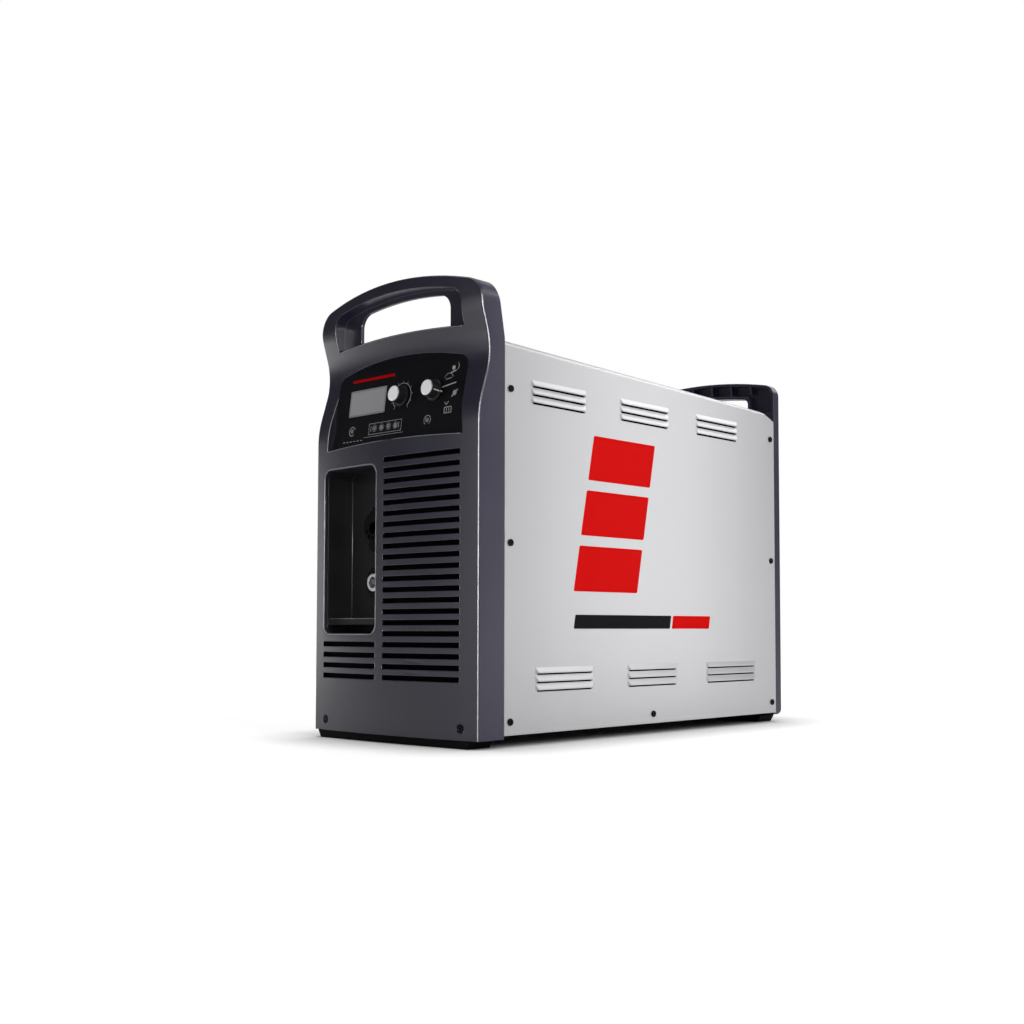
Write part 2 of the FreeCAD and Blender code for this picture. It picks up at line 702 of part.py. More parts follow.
def pan_head_screw(x, y, z, axis):
    """Screw whose head sits on the plane at this point; axis points out of the head."""
    head = Part.makeCylinder(SCREW_HEAD, SCREW_HEAD_HEIGHT, Vector(0, 0, 0), Z_AXIS)
    head = rounded(head, SCREW_HEAD_HEIGHT * 0.55,
                   lambda edge: edge.CenterOfMass.z > SCREW_HEAD_HEIGHT / 2 and not along(edge, Z_AXIS))
    shank = Part.makeCylinder(SCREW_SHANK, SCREW_LENGTH + 1, Vector(0, 0, -SCREW_LENGTH), Z_AXIS)
    drive = []
    for turn in (0, 90):
        arm = box(-2.1, 2.1, -0.45, 0.45, SCREW_HEAD_HEIGHT - 1.0, SCREW_HEAD_HEIGHT + 1)
        arm.rotate(Vector(0, 0, 0), Z_AXIS, turn)
        drive.append(arm)
    screw = joined([head, shank]).cut(drive)
    screw.Placement = Placement(Vector(x, y, z), Rotation(Z_AXIS, axis))
    return screw


def cover_screws():
    screws = []
    for side in (-1, 1):
        for depth, z in side_screw_places():
            screws.append(pan_head_screw(side * HALF, from_front(depth), z, Vector(side, 0, 0)))
    return Part.makeCompound(screws)


def front_panel_screws():
    screws = []
    for x in panel_screw_xs():
        screws.append(pan_head_screw(x, front_screw_y(x), PANEL_SCREW_Z, Vector(0, -1, 0)))
    return Part.makeCompound(screws)


def foot(y0, y1):
    """Rubber bar with slanted ends that stands on the floor."""
    half = FOOT_HALF_TOP
    points = [Vector(-half, y0, FOOT_HEIGHT), Vector(half, y0, FOOT_HEIGHT),
              Vector(half - FOOT_SLANT, y0, 0), Vector(-half + FOOT_SLANT, y0, 0)]
    bar = Part.Face(Part.makePolygon(points + points[:1])).extrude(Vector(0, y1 - y0, 0))

    def long_low(edge):
        return along(edge, X_AXIS) and edge.CenterOfMass.z < FOOT_HEIGHT / 2

    return rounded(bar, FOOT_REST_TAPER, long_low)


def front_foot():
    return foot(from_front(FOOT_INSET), from_front(FOOT_INSET + FOOT_WIDTH))


def rear_foot():
    return foot(from_front(DEPTH - FOOT_INSET - FOOT_WIDTH), from_front(DEPTH - FOOT_INSET))


def plate_place(x, z, lift=0.0):
    """Placement on the control plate: local Z points out of the plate, local Y up along it."""
    angle = math.radians(PLATE_LEAN)
    normal = Vector(0, -math.cos(angle), math.sin(angle))
    point = Vector(x, plate_y(z), z) + normal * lift
    return Placement(point, Rotation(X_AXIS, 90 - PLATE_LEAN))


def on_plate(shape, x, z, lift=0.0):
    """Put a shape that was made around the origin onto the control plate."""
    placed = shape.copy()
    placed.Placement = plate_place(x, z, lift).multiply(shape.Placement)
    return placed


def knob_xs():
    return (CURRENT_KNOB_X, MODE_KNOB_X)


def control_panel():
    plate = recess_prism(-PLATE_GAP).common(plate_slab(0, PLATE_THICK))
    cutters = []
    window = rounded_box(-SCREEN_WIDTH / 2 - 0.1, SCREEN_WIDTH / 2 + 0.1, -SCREEN_HEIGHT / 2 - 0.1,
                         SCREEN_HEIGHT / 2 + 0.1, -PLATE_THICK - 1, 1, 1.5, Z_AXIS)
    cutters.append(on_plate(window, SCREEN_X, SCREEN_Z))
    for x in knob_xs():
        hole = Part.makeCylinder(SHAFT_RADIUS + 1.2, PLATE_THICK + 2, Vector(0, 0, -PLATE_THICK - 1))
        cutters.append(on_plate(hole, x, KNOB_Z))
    for x in LAMP_XS:
        hole = Part.makeCylinder(LAMP_RADIUS + 0.05, PLATE_THICK + 2, Vector(0, 0, -PLATE_THICK - 1))
        cutters.append(on_plate(hole, x, LAMP_Z))
    return plate.cut(cutters)


def display_window():
    pane = rounded_box(-SCREEN_WIDTH / 2, SCREEN_WIDTH / 2, -SCREEN_HEIGHT / 2, SCREEN_HEIGHT / 2,
                       -WINDOW_THICK, -0.2, 1.4, Z_AXIS)
    return on_plate(pane, SCREEN_X, SCREEN_Z)


def display_module():
    back = -PLATE_THICK - 4
    glass = box(-SCREEN_WIDTH / 2 + 0.4, SCREEN_WIDTH / 2 - 0.4, -SCREEN_HEIGHT / 2 + 0.4,
                SCREEN_HEIGHT / 2 - 0.4, back, -WINDOW_THICK)
    frame = box(-SCREEN_WIDTH / 2 - 4, SCREEN_WIDTH / 2 + 4, -SCREEN_HEIGHT / 2 - 4,
                SCREEN_HEIGHT / 2 + 4, back, -PLATE_THICK)
    return on_plate(joined([glass, frame]), SCREEN_X, SCREEN_Z)


def control_board():
    width, height = PLATE_HALF_TOP * 2 - 24, PLATE_TOP - PLATE_BOTTOM - 24
    board = box(-width / 2, width / 2, -height / 2, height / 2, -BOARD_DROP - BOARD_THICK, -BOARD_DROP)
    middle = (PLATE_TOP + PLATE_BOTTOM) / 2
    chips = []
    for x, y in ((-60, 22), (-20, 24), (30, -24), (66, 20), (84, -20)):
        chips.append(box(x - 6, x + 6, y - 5, y + 5, -BOARD_DROP - BOARD_THICK - 2,
                         -BOARD_DROP - BOARD_THICK + 0.1))
    posts = []
    for x in (-width / 2 + 5, width / 2 - 5):
        for y in (-height / 2 + 5, height / 2 - 5):
            posts.append(Part.makeCylinder(3, BOARD_STANDOFF + 0.5, Vector(x, y, -BOARD_DROP - 0.5)))
    board = joined([board] + chips + posts)
    holes = []
    for x in knob_xs():
        at = Vector(x, (KNOB_Z - middle) / COS_LEAN, -BOARD_DROP - 4)
        holes.append(Part.makeCylinder(SHAFT_RADIUS + 1, 8, at))
    return on_plate(board.cut(holes), 0, middle)


def knob_body(pointer):
    """Tapered knob with a base skirt and finger flutes, its seat face at the origin."""
    skirt = Part.makeCylinder(KNOB_RADIUS + 1.5, 1.8)
    cone = Part.makeCone(KNOB_RADIUS, KNOB_CAP_RADIUS + 0.5, KNOB_LENGTH)
    body = joined([skirt, cone])
    flutes = []
    for index in range(18):
        angle = math.radians(20 * index + 10)
        at = Vector((KNOB_RADIUS + 0.45) * math.cos(angle), (KNOB_RADIUS + 0.45) * math.sin(angle), 2.6)
        flutes.append(Part.makeCylinder(0.9, KNOB_LENGTH, at))
    bore = Part.makeCylinder(SHAFT_RADIUS + FIT_CLEAR, KNOB_LENGTH - 3, Vector(0, 0, -0.1))
    body = body.cut(flutes + [bore])
    if pointer:
        fin = box(0, KNOB_RADIUS + POINTER_LENGTH, -1.1, 1.1, 0.4, 2.4)
        fin = fin.cut(Part.makeCylinder(SHAFT_RADIUS + 2, 4))
        body = joined([body, fin])
        body.rotate(Vector(0, 0, 0), Z_AXIS, POINTER_TURN)
    return body


def knob_cap():
    cap = Part.makeCylinder(KNOB_CAP_RADIUS, KNOB_CAP_THICK, Vector(0, 0, KNOB_LENGTH))
    return rounded(cap, KNOB_CAP_THICK * 0.5,
                   lambda edge: edge.CenterOfMass.z > KNOB_LENGTH + KNOB_CAP_THICK / 2
                   and not along(edge, Z_AXIS))


def current_knob():
    return on_plate(knob_body(False), CURRENT_KNOB_X, KNOB_Z, KNOB_LIFT)


def current_knob_cap():
    return on_plate(knob_cap(), CURRENT_KNOB_X, KNOB_Z, KNOB_LIFT)


def mode_knob():
    return on_plate(knob_body(True), MODE_KNOB_X, KNOB_Z, KNOB_LIFT)


def mode_knob_cap():
    return on_plate(knob_cap(), MODE_KNOB_X, KNOB_Z, KNOB_LIFT)


def control_shaft(x):
    """Shaft that fills the knob's bore and runs back into the switch or encoder."""
    back = BOARD_DROP + BOARD_THICK + CONTROL_BODY_DEPTH - 2
    shaft = Part.makeCylinder(SHAFT_RADIUS, back + KNOB_LIFT + KNOB_LENGTH - 3.2, Vector(0, 0, -back))
    return on_plate(shaft, x, KNOB_Z)


def control_body(x, size):
    """Square body behind the board, with a bushing that reaches the plate."""
    top = -BOARD_DROP - BOARD_THICK
    block = box(-size / 2, size / 2, -size / 2, size / 2, top - CONTROL_BODY_DEPTH, top)
    bore = Part.makeCylinder(SHAFT_RADIUS + RUN_CLEAR, CONTROL_BODY_DEPTH, Vector(0, 0, top - 8))
    return on_plate(block.cut(bore), x, KNOB_Z)


def encoder_shaft():
    return control_shaft(CURRENT_KNOB_X)


def encoder_body():
    return control_body(CURRENT_KNOB_X, ENCODER_SIZE)


def mode_switch_shaft():
    return control_shaft(MODE_KNOB_X)


def mode_switch_body():
    return control_body(MODE_KNOB_X, MODE_SWITCH_SIZE)


def indicator_lenses():
    lenses = []
    for x in LAMP_XS:
        lens = Part.makeCylinder(LAMP_RADIUS, PLATE_THICK + 0.9, Vector(0, 0, -PLATE_THICK))
        lens = rounded(lens, 0.8, lambda edge: edge.CenterOfMass.z > 0.5 and not along(edge, Z_AXIS))
        lenses.append(on_plate(lens, x, LAMP_Z))
    return Part.makeCompound(lenses)


def connector_bay():
    y0, y1 = from_front(COLLAR_DEPTH), from_front(BAY_DEPTH)
    tub = bay_prism(COLLAR, y0, y1).cut(bay_prism(0, y0 - 1, y1 - BAY_WALL))
    lip_y = from_front(COLLAR_DEPTH + 2)
    left, right = BAY_X - BAY_HALF, BAY_X + BAY_HALF
    shelf = box(left - 1, right + 1, lip_y, y1 - BAY_WALL + 0.5, LEDGE_TOP - LEDGE_THICK, LEDGE_TOP)
    lip = box(left - 1, right + 1, lip_y, lip_y + LEDGE_THICK, LEDGE_TOP - LEDGE_LIP, LEDGE_TOP)
    lip = rounded(lip, 0.8, lambda edge: along(edge, X_AXIS) and edge.CenterOfMass.y < lip_y + 0.1)
    tub = joined([tub, shelf, lip])
    holes = [rod(SOCKET_X, y1 - 10, WORK_Z, Y_AXIS, WORK_STEM_RADIUS + FIT_CLEAR, 20),
             rod(SOCKET_X, y1 - 10, TORCH_Z - 1, Y_AXIS, TORCH_STEM_RADIUS + FIT_CLEAR, 20)]
    return tub.cut(holes)


def torch_front():
    return from_front(BAY_DEPTH - BAY_WALL - TORCH_LENGTH)


def button_z():
    """Underside of the release button at rest."""
    return TORCH_Z + TORCH_RADIUS - 2


def torch_receptacle():
    y0, y1 = torch_front(), from_front(BAY_DEPTH - BAY_WALL)
    main = rod(SOCKET_X, y0, TORCH_Z, Y_AXIS, TORCH_RADIUS, y1 - y0)
    lobe = rod(SOCKET_X, y0 + 2, TORCH_Z - TORCH_LOBE_DROP, Y_AXIS, TORCH_LOBE_RADIUS, y1 - y0 - 2)
    guard_half = BUTTON_WIDTH / 2 + 2.5
    guard_y = y0 + 1.5
    guard = box(SOCKET_X - guard_half, SOCKET_X + guard_half, guard_y, guard_y + BUTTON_DEPTH + 4,
                TORCH_Z, button_z() + 3.5)
    stem = rod(SOCKET_X, y1 - 1, TORCH_Z - 1, Y_AXIS, TORCH_STEM_RADIUS, BAY_WALL + TORCH_STEM_LENGTH + 1)
    body = joined([main, lobe, guard, stem])
    body = rounded(body, 1.0, lambda edge: abs(edge.CenterOfMass.y - y0) < 0.01
                   and isinstance(edge.Curve, Part.Circle))
    well_y = guard_y + 2
    well = box(SOCKET_X - BUTTON_WIDTH / 2 - 0.1, SOCKET_X + BUTTON_WIDTH / 2 + 0.1, well_y - 0.1,
               well_y + BUTTON_DEPTH + 0.1, button_z() - BUTTON_TRAVEL - 1.5, button_z() + 20)
    bore = rod(SOCKET_X, y0 - 1, TORCH_Z - 1, Y_AXIS, TORCH_BORE, TORCH_BORE_DEPTH + 1)
    pins = [rod(x, y0 - 1, z, Y_AXIS, CONTACT_RADIUS + FIT_CLEAR, TORCH_BORE_DEPTH + 2)
            for x, z in contact_places()]
    return body.cut([well, bore] + pins)


def contact_places():
    places = []
    for angle in (200, 235, 270, 305, 340):
        turn = math.radians(angle)
        places.append((SOCKET_X + 11.4 * math.cos(turn), TORCH_Z - 1 + 11.4 * math.sin(turn)))
    return places


def torch_contacts():
    y0 = torch_front()
    contacts = []
    for x, z in contact_places():
        tube = rod(x, y0 + 3, z, Y_AXIS, CONTACT_RADIUS, TORCH_BORE_DEPTH - 2)
        contacts.append(tube.cut(rod(x, y0 + 2, z, Y_AXIS, CONTACT_RADIUS / 2, TORCH_BORE_DEPTH - 3)))
    return Part.makeCompound(contacts)


def torch_release_button():
    well_y = torch_front() + 3.5
    half = BUTTON_WIDTH / 2
    button = box(SOCKET_X - half, SOCKET_X + half, well_y, well_y + BUTTON_DEPTH, button_z(),
                 button_z() + BUTTON_HEIGHT)
    return rounded(button, 1.2, lambda edge: edge.CenterOfMass.z > button_z() + BUTTON_HEIGHT - 0.1
                   or (along(edge, Z_AXIS)))


def release_spring():
    """Plain sleeve for the coil that lifts the button."""
    y = torch_front() + 3.5 + BUTTON_DEPTH / 2
    low = button_z() - BUTTON_TRAVEL - 1.5
    outer = rod(SOCKET_X, y, low, Z_AXIS, 2.6, BUTTON_TRAVEL + 1.5)
    return outer.cut(rod(SOCKET_X, y, low - 1, Z_AXIS, 2.0, BUTTON_TRAVEL + 4))


def work_receptacle_body():
    y0, y1 = from_front(BAY_DEPTH - BAY_WALL - WORK_LENGTH), from_front(BAY_DEPTH - BAY_WALL)
    flange = rounded_box(SOCKET_X - WORK_RADIUS - 3, SOCKET_X + WORK_RADIUS + 3, y1 - 4, y1,
                         WORK_Z - WORK_RADIUS - 3, WORK_Z + WORK_RADIUS + 3, 5, Y_AXIS)
    barrel = rod(SOCKET_X, y0, WORK_Z, Y_AXIS, WORK_RADIUS, y1 - y0)
    body = joined([flange, barrel])
    body = rounded(body, 1.0, lambda edge: abs(edge.CenterOfMass.y - y0) < 0.01
                   and isinstance(edge.Curve, Part.Circle))
    return body.cut(rod(SOCKET_X, y0 - 1, WORK_Z, Y_AXIS, WORK_RING_RADIUS + FIT_CLEAR, WORK_LENGTH + 10))


def work_receptacle_socket():
    y0 = from_front(BAY_DEPTH - BAY_WALL - WORK_LENGTH) - 1
    y1 = from_front(BAY_DEPTH - BAY_WALL)
    ring = rod(SOCKET_X, y0, WORK_Z, Y_AXIS, WORK_RING_RADIUS, y1 - y0)
    ring = rounded(ring, 0.8, lambda edge: abs(edge.CenterOfMass.y - y0) < 0.01)
    stem = rod(SOCKET_X, y1 - 1, WORK_Z, Y_AXIS, WORK_STEM_RADIUS, BAY_WALL + WORK_STEM_LENGTH)
    socket = joined([ring, stem])
    return socket.cut(rod(SOCKET_X, y0 - 1, WORK_Z, Y_AXIS, WORK_BORE, WORK_BORE_DEPTH + 1))


def base_pan():
    y0, y1 = from_front(COVER_FRONT + FLANGE_DEPTH + 1), from_front(DEPTH - REAR_BAND - FLANGE_DEPTH - 1)
    half = INNER_HALF
    outer = box(-half, half, y0, y1, FOOT_HEIGHT + WALL, FOOT_HEIGHT + WALL + PAN_LIP)
    inner = box(-half + SHEET, half - SHEET, y0 - 1, y1 + 1, FLOOR,
                FOOT_HEIGHT + WALL + PAN_LIP + 1)
    pan = outer.cut(inner)
    tongue_front = box(-half + WALL + 1, half - WALL - 1, from_front(COVER_FRONT - 12), y0 + 1,
                       FOOT_HEIGHT + WALL, FLOOR)
    reach = half - WALL - REAR_BOTTOM_CORNER
    tongue_rear = box(-reach, reach, y1 - 1, from_front(DEPTH - WALL - 1), FOOT_HEIGHT + WALL, FLOOR)
    pan = joined([pan, tongue_front, tongue_rear])
    hole = rod(-HALF, from_front(SIDE_SCREW_MIDDLE), SIDE_SCREW_LOW_Z, X_AXIS, SCREW_SHANK, WIDTH)
    return pan.cut(hole)


def centre_panel():
    x0, x1 = DIVIDER_X, DIVIDER_X + DIVIDER_THICK
    wall = box(x0, x1, from_front(DIVIDER_FRONT + 6), from_front(DIVIDER_REAR), FLOOR, DIVIDER_TOP)
    foot_flange = box(x0, x1 + DIVIDER_FLANGE, from_front(DIVIDER_FRONT + 6), from_front(DIVIDER_REAR),
                      FLOOR, FLOOR + DIVIDER_THICK)
    return joined([wall, foot_flange])


def fan_y():
    return from_front(FAN_BACK - FAN_THICK)


def fan_frame():
    y0, y1 = fan_y(), fan_y() + FAN_THICK
    half = FAN_SIZE / 2
    frame = rounded_box(FAN_X - half, FAN_X + half, y0, y1, FAN_Z - half, FAN_Z + half, 7, Y_AXIS)
    duct = rod(FAN_X, y0 - 1, FAN_Z, Y_AXIS, FAN_RADIUS + FAN_TIP_GAP, FAN_THICK + 2)
    frame = frame.cut(duct)
    motor = rod(FAN_X, y0, FAN_Z, Y_AXIS, FAN_HUB, 10)
    struts = []
    for index in range(4):
        strut = box(FAN_X, FAN_X + FAN_RADIUS + FAN_TIP_GAP + 1, y0, y0 + 4, FAN_Z - 3, FAN_Z + 3)
        strut.rotate(Vector(FAN_X, 0, FAN_Z), Y_AXIS, 45 + 90 * index)
        struts.append(strut)
    frame = joined([frame, motor] + struts)
    legs = []
    for x in (FAN_X - half + 8, FAN_X + half - 8):
        legs.append(box(x - 6, x + 6, y0 + 4, y1 - 4, FLOOR, FAN_Z - half + 1))
    frame = joined([frame] + legs)
    bearing = rod(FAN_X, y0 + 1, FAN_Z, Y_AXIS, FAN_SHAFT + RUN_CLEAR, FAN_THICK)
    holes = [rod(x, y0 - 1, z, Y_AXIS, SCREW_SHANK, FAN_THICK + 2) for x, z in fan_corners()]
    return frame.cut([bearing] + holes)


def fan_corners():
    reach = FAN_SIZE / 2 - 7
    return [(FAN_X + sx * reach, FAN_Z + sz * reach) for sx in (-1, 1) for sz in (-1, 1)]


def fan_impeller():
    y0 = fan_y() + 11
    length = FAN_THICK - 14
    hub = rod(FAN_X, y0, FAN_Z, Y_AXIS, FAN_HUB, length)
    shaft = rod(FAN_X, y0 - 9, FAN_Z, Y_AXIS, FAN_SHAFT, 10)
    blades = []
    for index in range(FAN_BLADES):
        blade = Part.makeBox(FAN_RADIUS - FAN_HUB + 2, FAN_BLADE_THICK, length * 1.12,
                             Vector(FAN_HUB - 2, -FAN_BLADE_THICK / 2, -length * 0.56))
        blade.rotate(Vector(0, 0, 0), X_AXIS, 42)
        blade.rotate(Vector(0, 0, 0), X_AXIS, 90)
        blade.rotate(Vector(0, 0, 0), Y_AXIS, 360.0 * index / FAN_BLADES)
        blade.translate(Vector(FAN_X, y0 + length / 2, FAN_Z))
        blades.append(blade)
    sweep = rod(FAN_X, y0, FAN_Z, Y_AXIS, FAN_RADIUS, length)
    blades = [blade.common(sweep) for blade in blades]
    return joined([hub, shaft] + blades)


def fan_guard():
    """Wire rings and spokes over the fan's rear face."""
    y = fan_y() + FAN_THICK + FAN_WIRE + 0.1
    wires = []
    for index in range(FAN_RINGS):
        radius = FAN_RADIUS * (index + 1.5) / (FAN_RINGS + 0.4)
        wires.append(Part.makeTorus(radius, FAN_WIRE, Vector(FAN_X, y, FAN_Z), Y_AXIS))
    reach = (FAN_SIZE / 2 - 7) * math.sqrt(2)
    for turn in (45, 135, 225, 315):
        spoke = rod(FAN_X, y + FAN_WIRE / 2, FAN_Z, X_AXIS, FAN_WIRE * 1.2, reach)
        spoke.rotate(Vector(FAN_X, y, FAN_Z), Y_AXIS, turn)
        wires.append(spoke)
    wires.append(rod(FAN_X, y - 1, FAN_Z, Y_AXIS, 4, 2.8))
    for x, z in fan_corners():
        wires.append(rod(x, y - FAN_WIRE - 0.1, z, Y_AXIS, 4.5, FAN_GUARD_THICK))
    guard = joined(wires)
    return guard.cut([rod(x, y - 5, z, Y_AXIS, SCREW_SHANK + 0.2, 10) for x, z in fan_corners()])


def fan_screws():
    y = fan_y() + FAN_THICK + FAN_GUARD_THICK
    return Part.makeCompound([pan_head_screw(x, y, z, Y_AXIS) for x, z in fan_corners()])


def heat_sink():
    x0 = DIVIDER_X + DIVIDER_THICK
    y0 = from_front(SINK_FRONT)
    base = box(x0, x0 + SINK_BASE, y0, y0 + SINK_LENGTH, SINK_BOTTOM, SINK_BOTTOM + SINK_HEIGHT)
    fins = []
    for index in range(int((SINK_HEIGHT - SINK_FIN) / SINK_FIN_PITCH) + 1):
        z = SINK_BOTTOM + index * SINK_FIN_PITCH
        fins.append(box(x0 + SINK_BASE - 0.5, x0 + SINK_BASE + SINK_FIN_DEPTH, y0, y0 + SINK_LENGTH,
                        z, z + SINK_FIN))
    return joined([base] + fins)


def board_x():
    """Face of the power board that looks at the divider."""
    return DIVIDER_X - MODULE_DEPTH


def power_board():
    x1 = board_x()
    return box(x1 - BOARD_THICK, x1, from_front(BOARD_FRONT), from_front(BOARD_REAR), BOARD_BOTTOM,
               BOARD_TOP)


def power_modules():
    modules = []
    middle = SINK_BOTTOM + SINK_HEIGHT / 2
    for index in range(MODULE_COUNT):
        y0 = from_front(SINK_FRONT + 12 + index * MODULE_PITCH)
        modules.append(box(board_x(), DIVIDER_X, y0, y0 + MODULE_LENGTH, middle - MODULE_HEIGHT / 2,
                           middle + MODULE_HEIGHT / 2))
    return Part.makeCompound(modules)


def board_spacers():
    spacers = []
    for y in (from_front(BOARD_FRONT + 12), from_front(BOARD_REAR - 12)):
        for z in (BOARD_BOTTOM + 12, BOARD_TOP - 12):
            spacers.append(rod(board_x(), y, z, X_AXIS, SPACER_RADIUS, DIVIDER_X - board_x()))
    return Part.makeCompound(spacers)


def capacitors():
    cans = []
    for index in range(CAPACITOR_COUNT):
        y = from_front(BOARD_FRONT + 60 + index * CAPACITOR_PITCH)
        x = board_x() - BOARD_THICK - CAPACITOR_LENGTH
        can = rod(x, y, CAPACITOR_Z, X_AXIS, CAPACITOR_RADIUS, CAPACITOR_LENGTH)
        cans.append(rounded(can, 1.5, lambda edge: edge.CenterOfMass.x < x + 1 and not along(edge, X_AXIS)))
    return Part.makeCompound(cans)


def transformer_place():
    return FAN_X + 8, from_front(SINK_FRONT + 20)


def transformer_core():
    x, y0 = transformer_place()
    outer = box(x - CORE_WIDTH / 2, x + CORE_WIDTH / 2, y0, y0 + CORE_LENGTH, FLOOR, FLOOR + CORE_HEIGHT)
    windows = []
    for side in (-1, 1):
        low, high = sorted((side * CORE_LEG / 2, side * (CORE_WIDTH / 2 - CORE_LEG)))
        windows.append(box(x + low, x + high, y0 - 1, y0 + CORE_LENGTH + 1, FLOOR + CORE_LEG,
                           FLOOR + CORE_HEIGHT - CORE_LEG))
    return outer.cut(windows)


def transformer_windings():
    x, y0 = transformer_place()
    reach = CORE_WIDTH / 2 - CORE_LEG - 1
    outer = rounded_box(x - reach, x + reach, y0 - 12, y0 + CORE_LENGTH + 12, FLOOR + CORE_LEG,
                        FLOOR + CORE_HEIGHT - CORE_LEG, 9, Z_AXIS)
    inner = box(x - CORE_LEG / 2, x + CORE_LEG / 2, y0, y0 + CORE_LENGTH, FLOOR, FLOOR + CORE_HEIGHT)
    return outer.cut(inner)


def choke(y_distance):
    """Wound ring that lies on the pan."""
    x = FAN_X + 4
    y = from_front(y_distance)
    ring = rod(x, y, FLOOR, Z_AXIS, CHOKE_RADIUS, CHOKE_HEIGHT)
    ring = ring.cut(rod(x, y, FLOOR - 1, Z_AXIS, CHOKE_HOLE, CHOKE_HEIGHT + 2))
    return rounded(ring, 6, lambda edge: edge.CenterOfMass.z > FLOOR + CHOKE_HEIGHT - 0.1)


def input_choke():
    return choke(SINK_FRONT + SINK_LENGTH + 10)


def output_choke():
    return choke(COVER_FRONT + FLANGE_DEPTH + 46)


def rear_outline(y0, y1, inset=0.0):
    return arched_prism(HALF - inset, HALF - inset, FOOT_HEIGHT + inset, REAR_TOP - inset, REAR_ARC - inset,
                        max(REAR_CORNER - inset, 1), max(REAR_BOTTOM_CORNER - inset, 1), y0, y1)


def rear_grip(y0, y1, inset=0.0):
    return arched_prism(REAR_GRIP_HALF + inset, REAR_GRIP_HALF + inset, REAR_GRIP_BOTTOM - inset,
                        REAR_GRIP_TOP + inset, REAR_ARC - REAR_TOP + REAR_GRIP_TOP, REAR_GRIP_CORNER, 3,
                        y0, y1)


def nook_prism(offset, y0, y1):
    return rounded_box(NOOK_X - NOOK_HALF - offset, NOOK_X + NOOK_HALF + offset, y0, y1,
                       NOOK_BOTTOM - offset, NOOK_TOP + offset, NOOK_CORNER + offset, Y_AXIS)


def nook_floor():
    """Y of the face that the rear fittings sit on."""
    return from_front(DEPTH - NOOK_DEPTH)


def rear_screw_places():
    high = NOOK_TOP + 18
    return [(-PANEL_SCREW_X, high), (PANEL_SCREW_X, high), (-PANEL_SCREW_X, PANEL_SCREW_Z + 3),
            (PANEL_SCREW_X, PANEL_SCREW_Z + 3)]


def rear_panel():
    front, back = from_front(DEPTH - REAR_BAND), from_front(DEPTH)
    body = rear_outline(front, back)

    def outer_rim(edge):
        return abs(edge.CenterOfMass.y - back) < 0.01

    body = rounded(body, EDGE_ROUND, outer_rim)
    body = body.cut(rear_outline(front - 1, back - WALL, WALL))
    grip_wall = rear_grip(front, back - WALL / 2, WALL)
    additions = [grip_wall]
    for index in range(-3, 4):
        x = index * RIB_PITCH
        additions.append(box(x - RIB / 2, x + RIB / 2, front + 1, back - WALL / 2, REAR_GRIP_TOP,
                             REAR_TOP - WALL / 2).common(rear_outline(front, back - 1, WALL / 2)))
    for side in (-1, 1):
        low, high = sorted((side * (HALF - 1), side * (INNER_HALF - FRAME_WALL)))
        additions.append(box(low, high, front, front + 6, FOOT_HEIGHT + WALL, rear_frame_top()))
    additions.append(box(-HALF + 2, HALF - 2, front, front + 3, rear_frame_top() - FRAME_WALL,
                         REAR_GRIP_BOTTOM - 1))
    body = joined([body] + additions)
    cutters = [rear_grip(front - 5, back + 5), nook_prism(0, front - 5, back + 5)]
    intake_top = FAN_Z + SLOT_PITCH * (INTAKE_ROWS - 1) / 2
    cutters += slot_cutters(FAN_X - INTAKE_HALF, FAN_X + INTAKE_HALF, intake_top, INTAKE_ROWS, back - 10,
                            back + 5)
    for x, z in rear_screw_places():
        cutters.append(rod(x, back - 40, z, Y_AXIS, SCREW_SHANK + 0.1, 50))
        cutters.append(rod(x, back - SCREW_HEAD_HEIGHT - 0.1, z, Y_AXIS, SCREW_HEAD + 0.6, 20))
    return body.cut(cutters)


def rear_recess():
    """Tub behind the rear panel's opening that carries the rear fittings."""
    floor_y = nook_floor()
    tub = nook_prism(WALL, floor_y - WALL, from_front(DEPTH - WALL)).cut(
        nook_prism(0, floor_y, from_front(DEPTH)))
    cutters = []
    cutters.append(rod(NOOK_X, floor_y - 20, SWITCH_Z, Y_AXIS, SWITCH_SHAFT_RADIUS + 4, 30))
    cutters.append(rod(NOOK_X, floor_y - 20, GLAND_Z, Y_AXIS, GLAND_BORE + 1.5, 30))
    cutters.append(rod(GAS_X, floor_y - 20, GAS_Z, Y_AXIS, GAS_BORE + 2, 30))
    cutters.append(rod(FILTER_X, floor_y - 20, FILTER_Z, Y_AXIS, HOSE_RADIUS + 1, 30))
    cutters.append(box(NOOK_X - PORT_WIDTH / 2 + 3, NOOK_X + PORT_WIDTH / 2 - 3, floor_y - 20,
                       floor_y + 10, PORT_Z - PORT_HEIGHT / 2 + 3, PORT_Z + PORT_HEIGHT / 2 - 3))
    return tub.cut(cutters)


def rear_panel_screws():
    y = from_front(DEPTH) - SCREW_HEAD_HEIGHT - 0.1
    return Part.makeCompound([pan_head_screw(x, y, z, Y_AXIS) for x, z in rear_screw_places()])


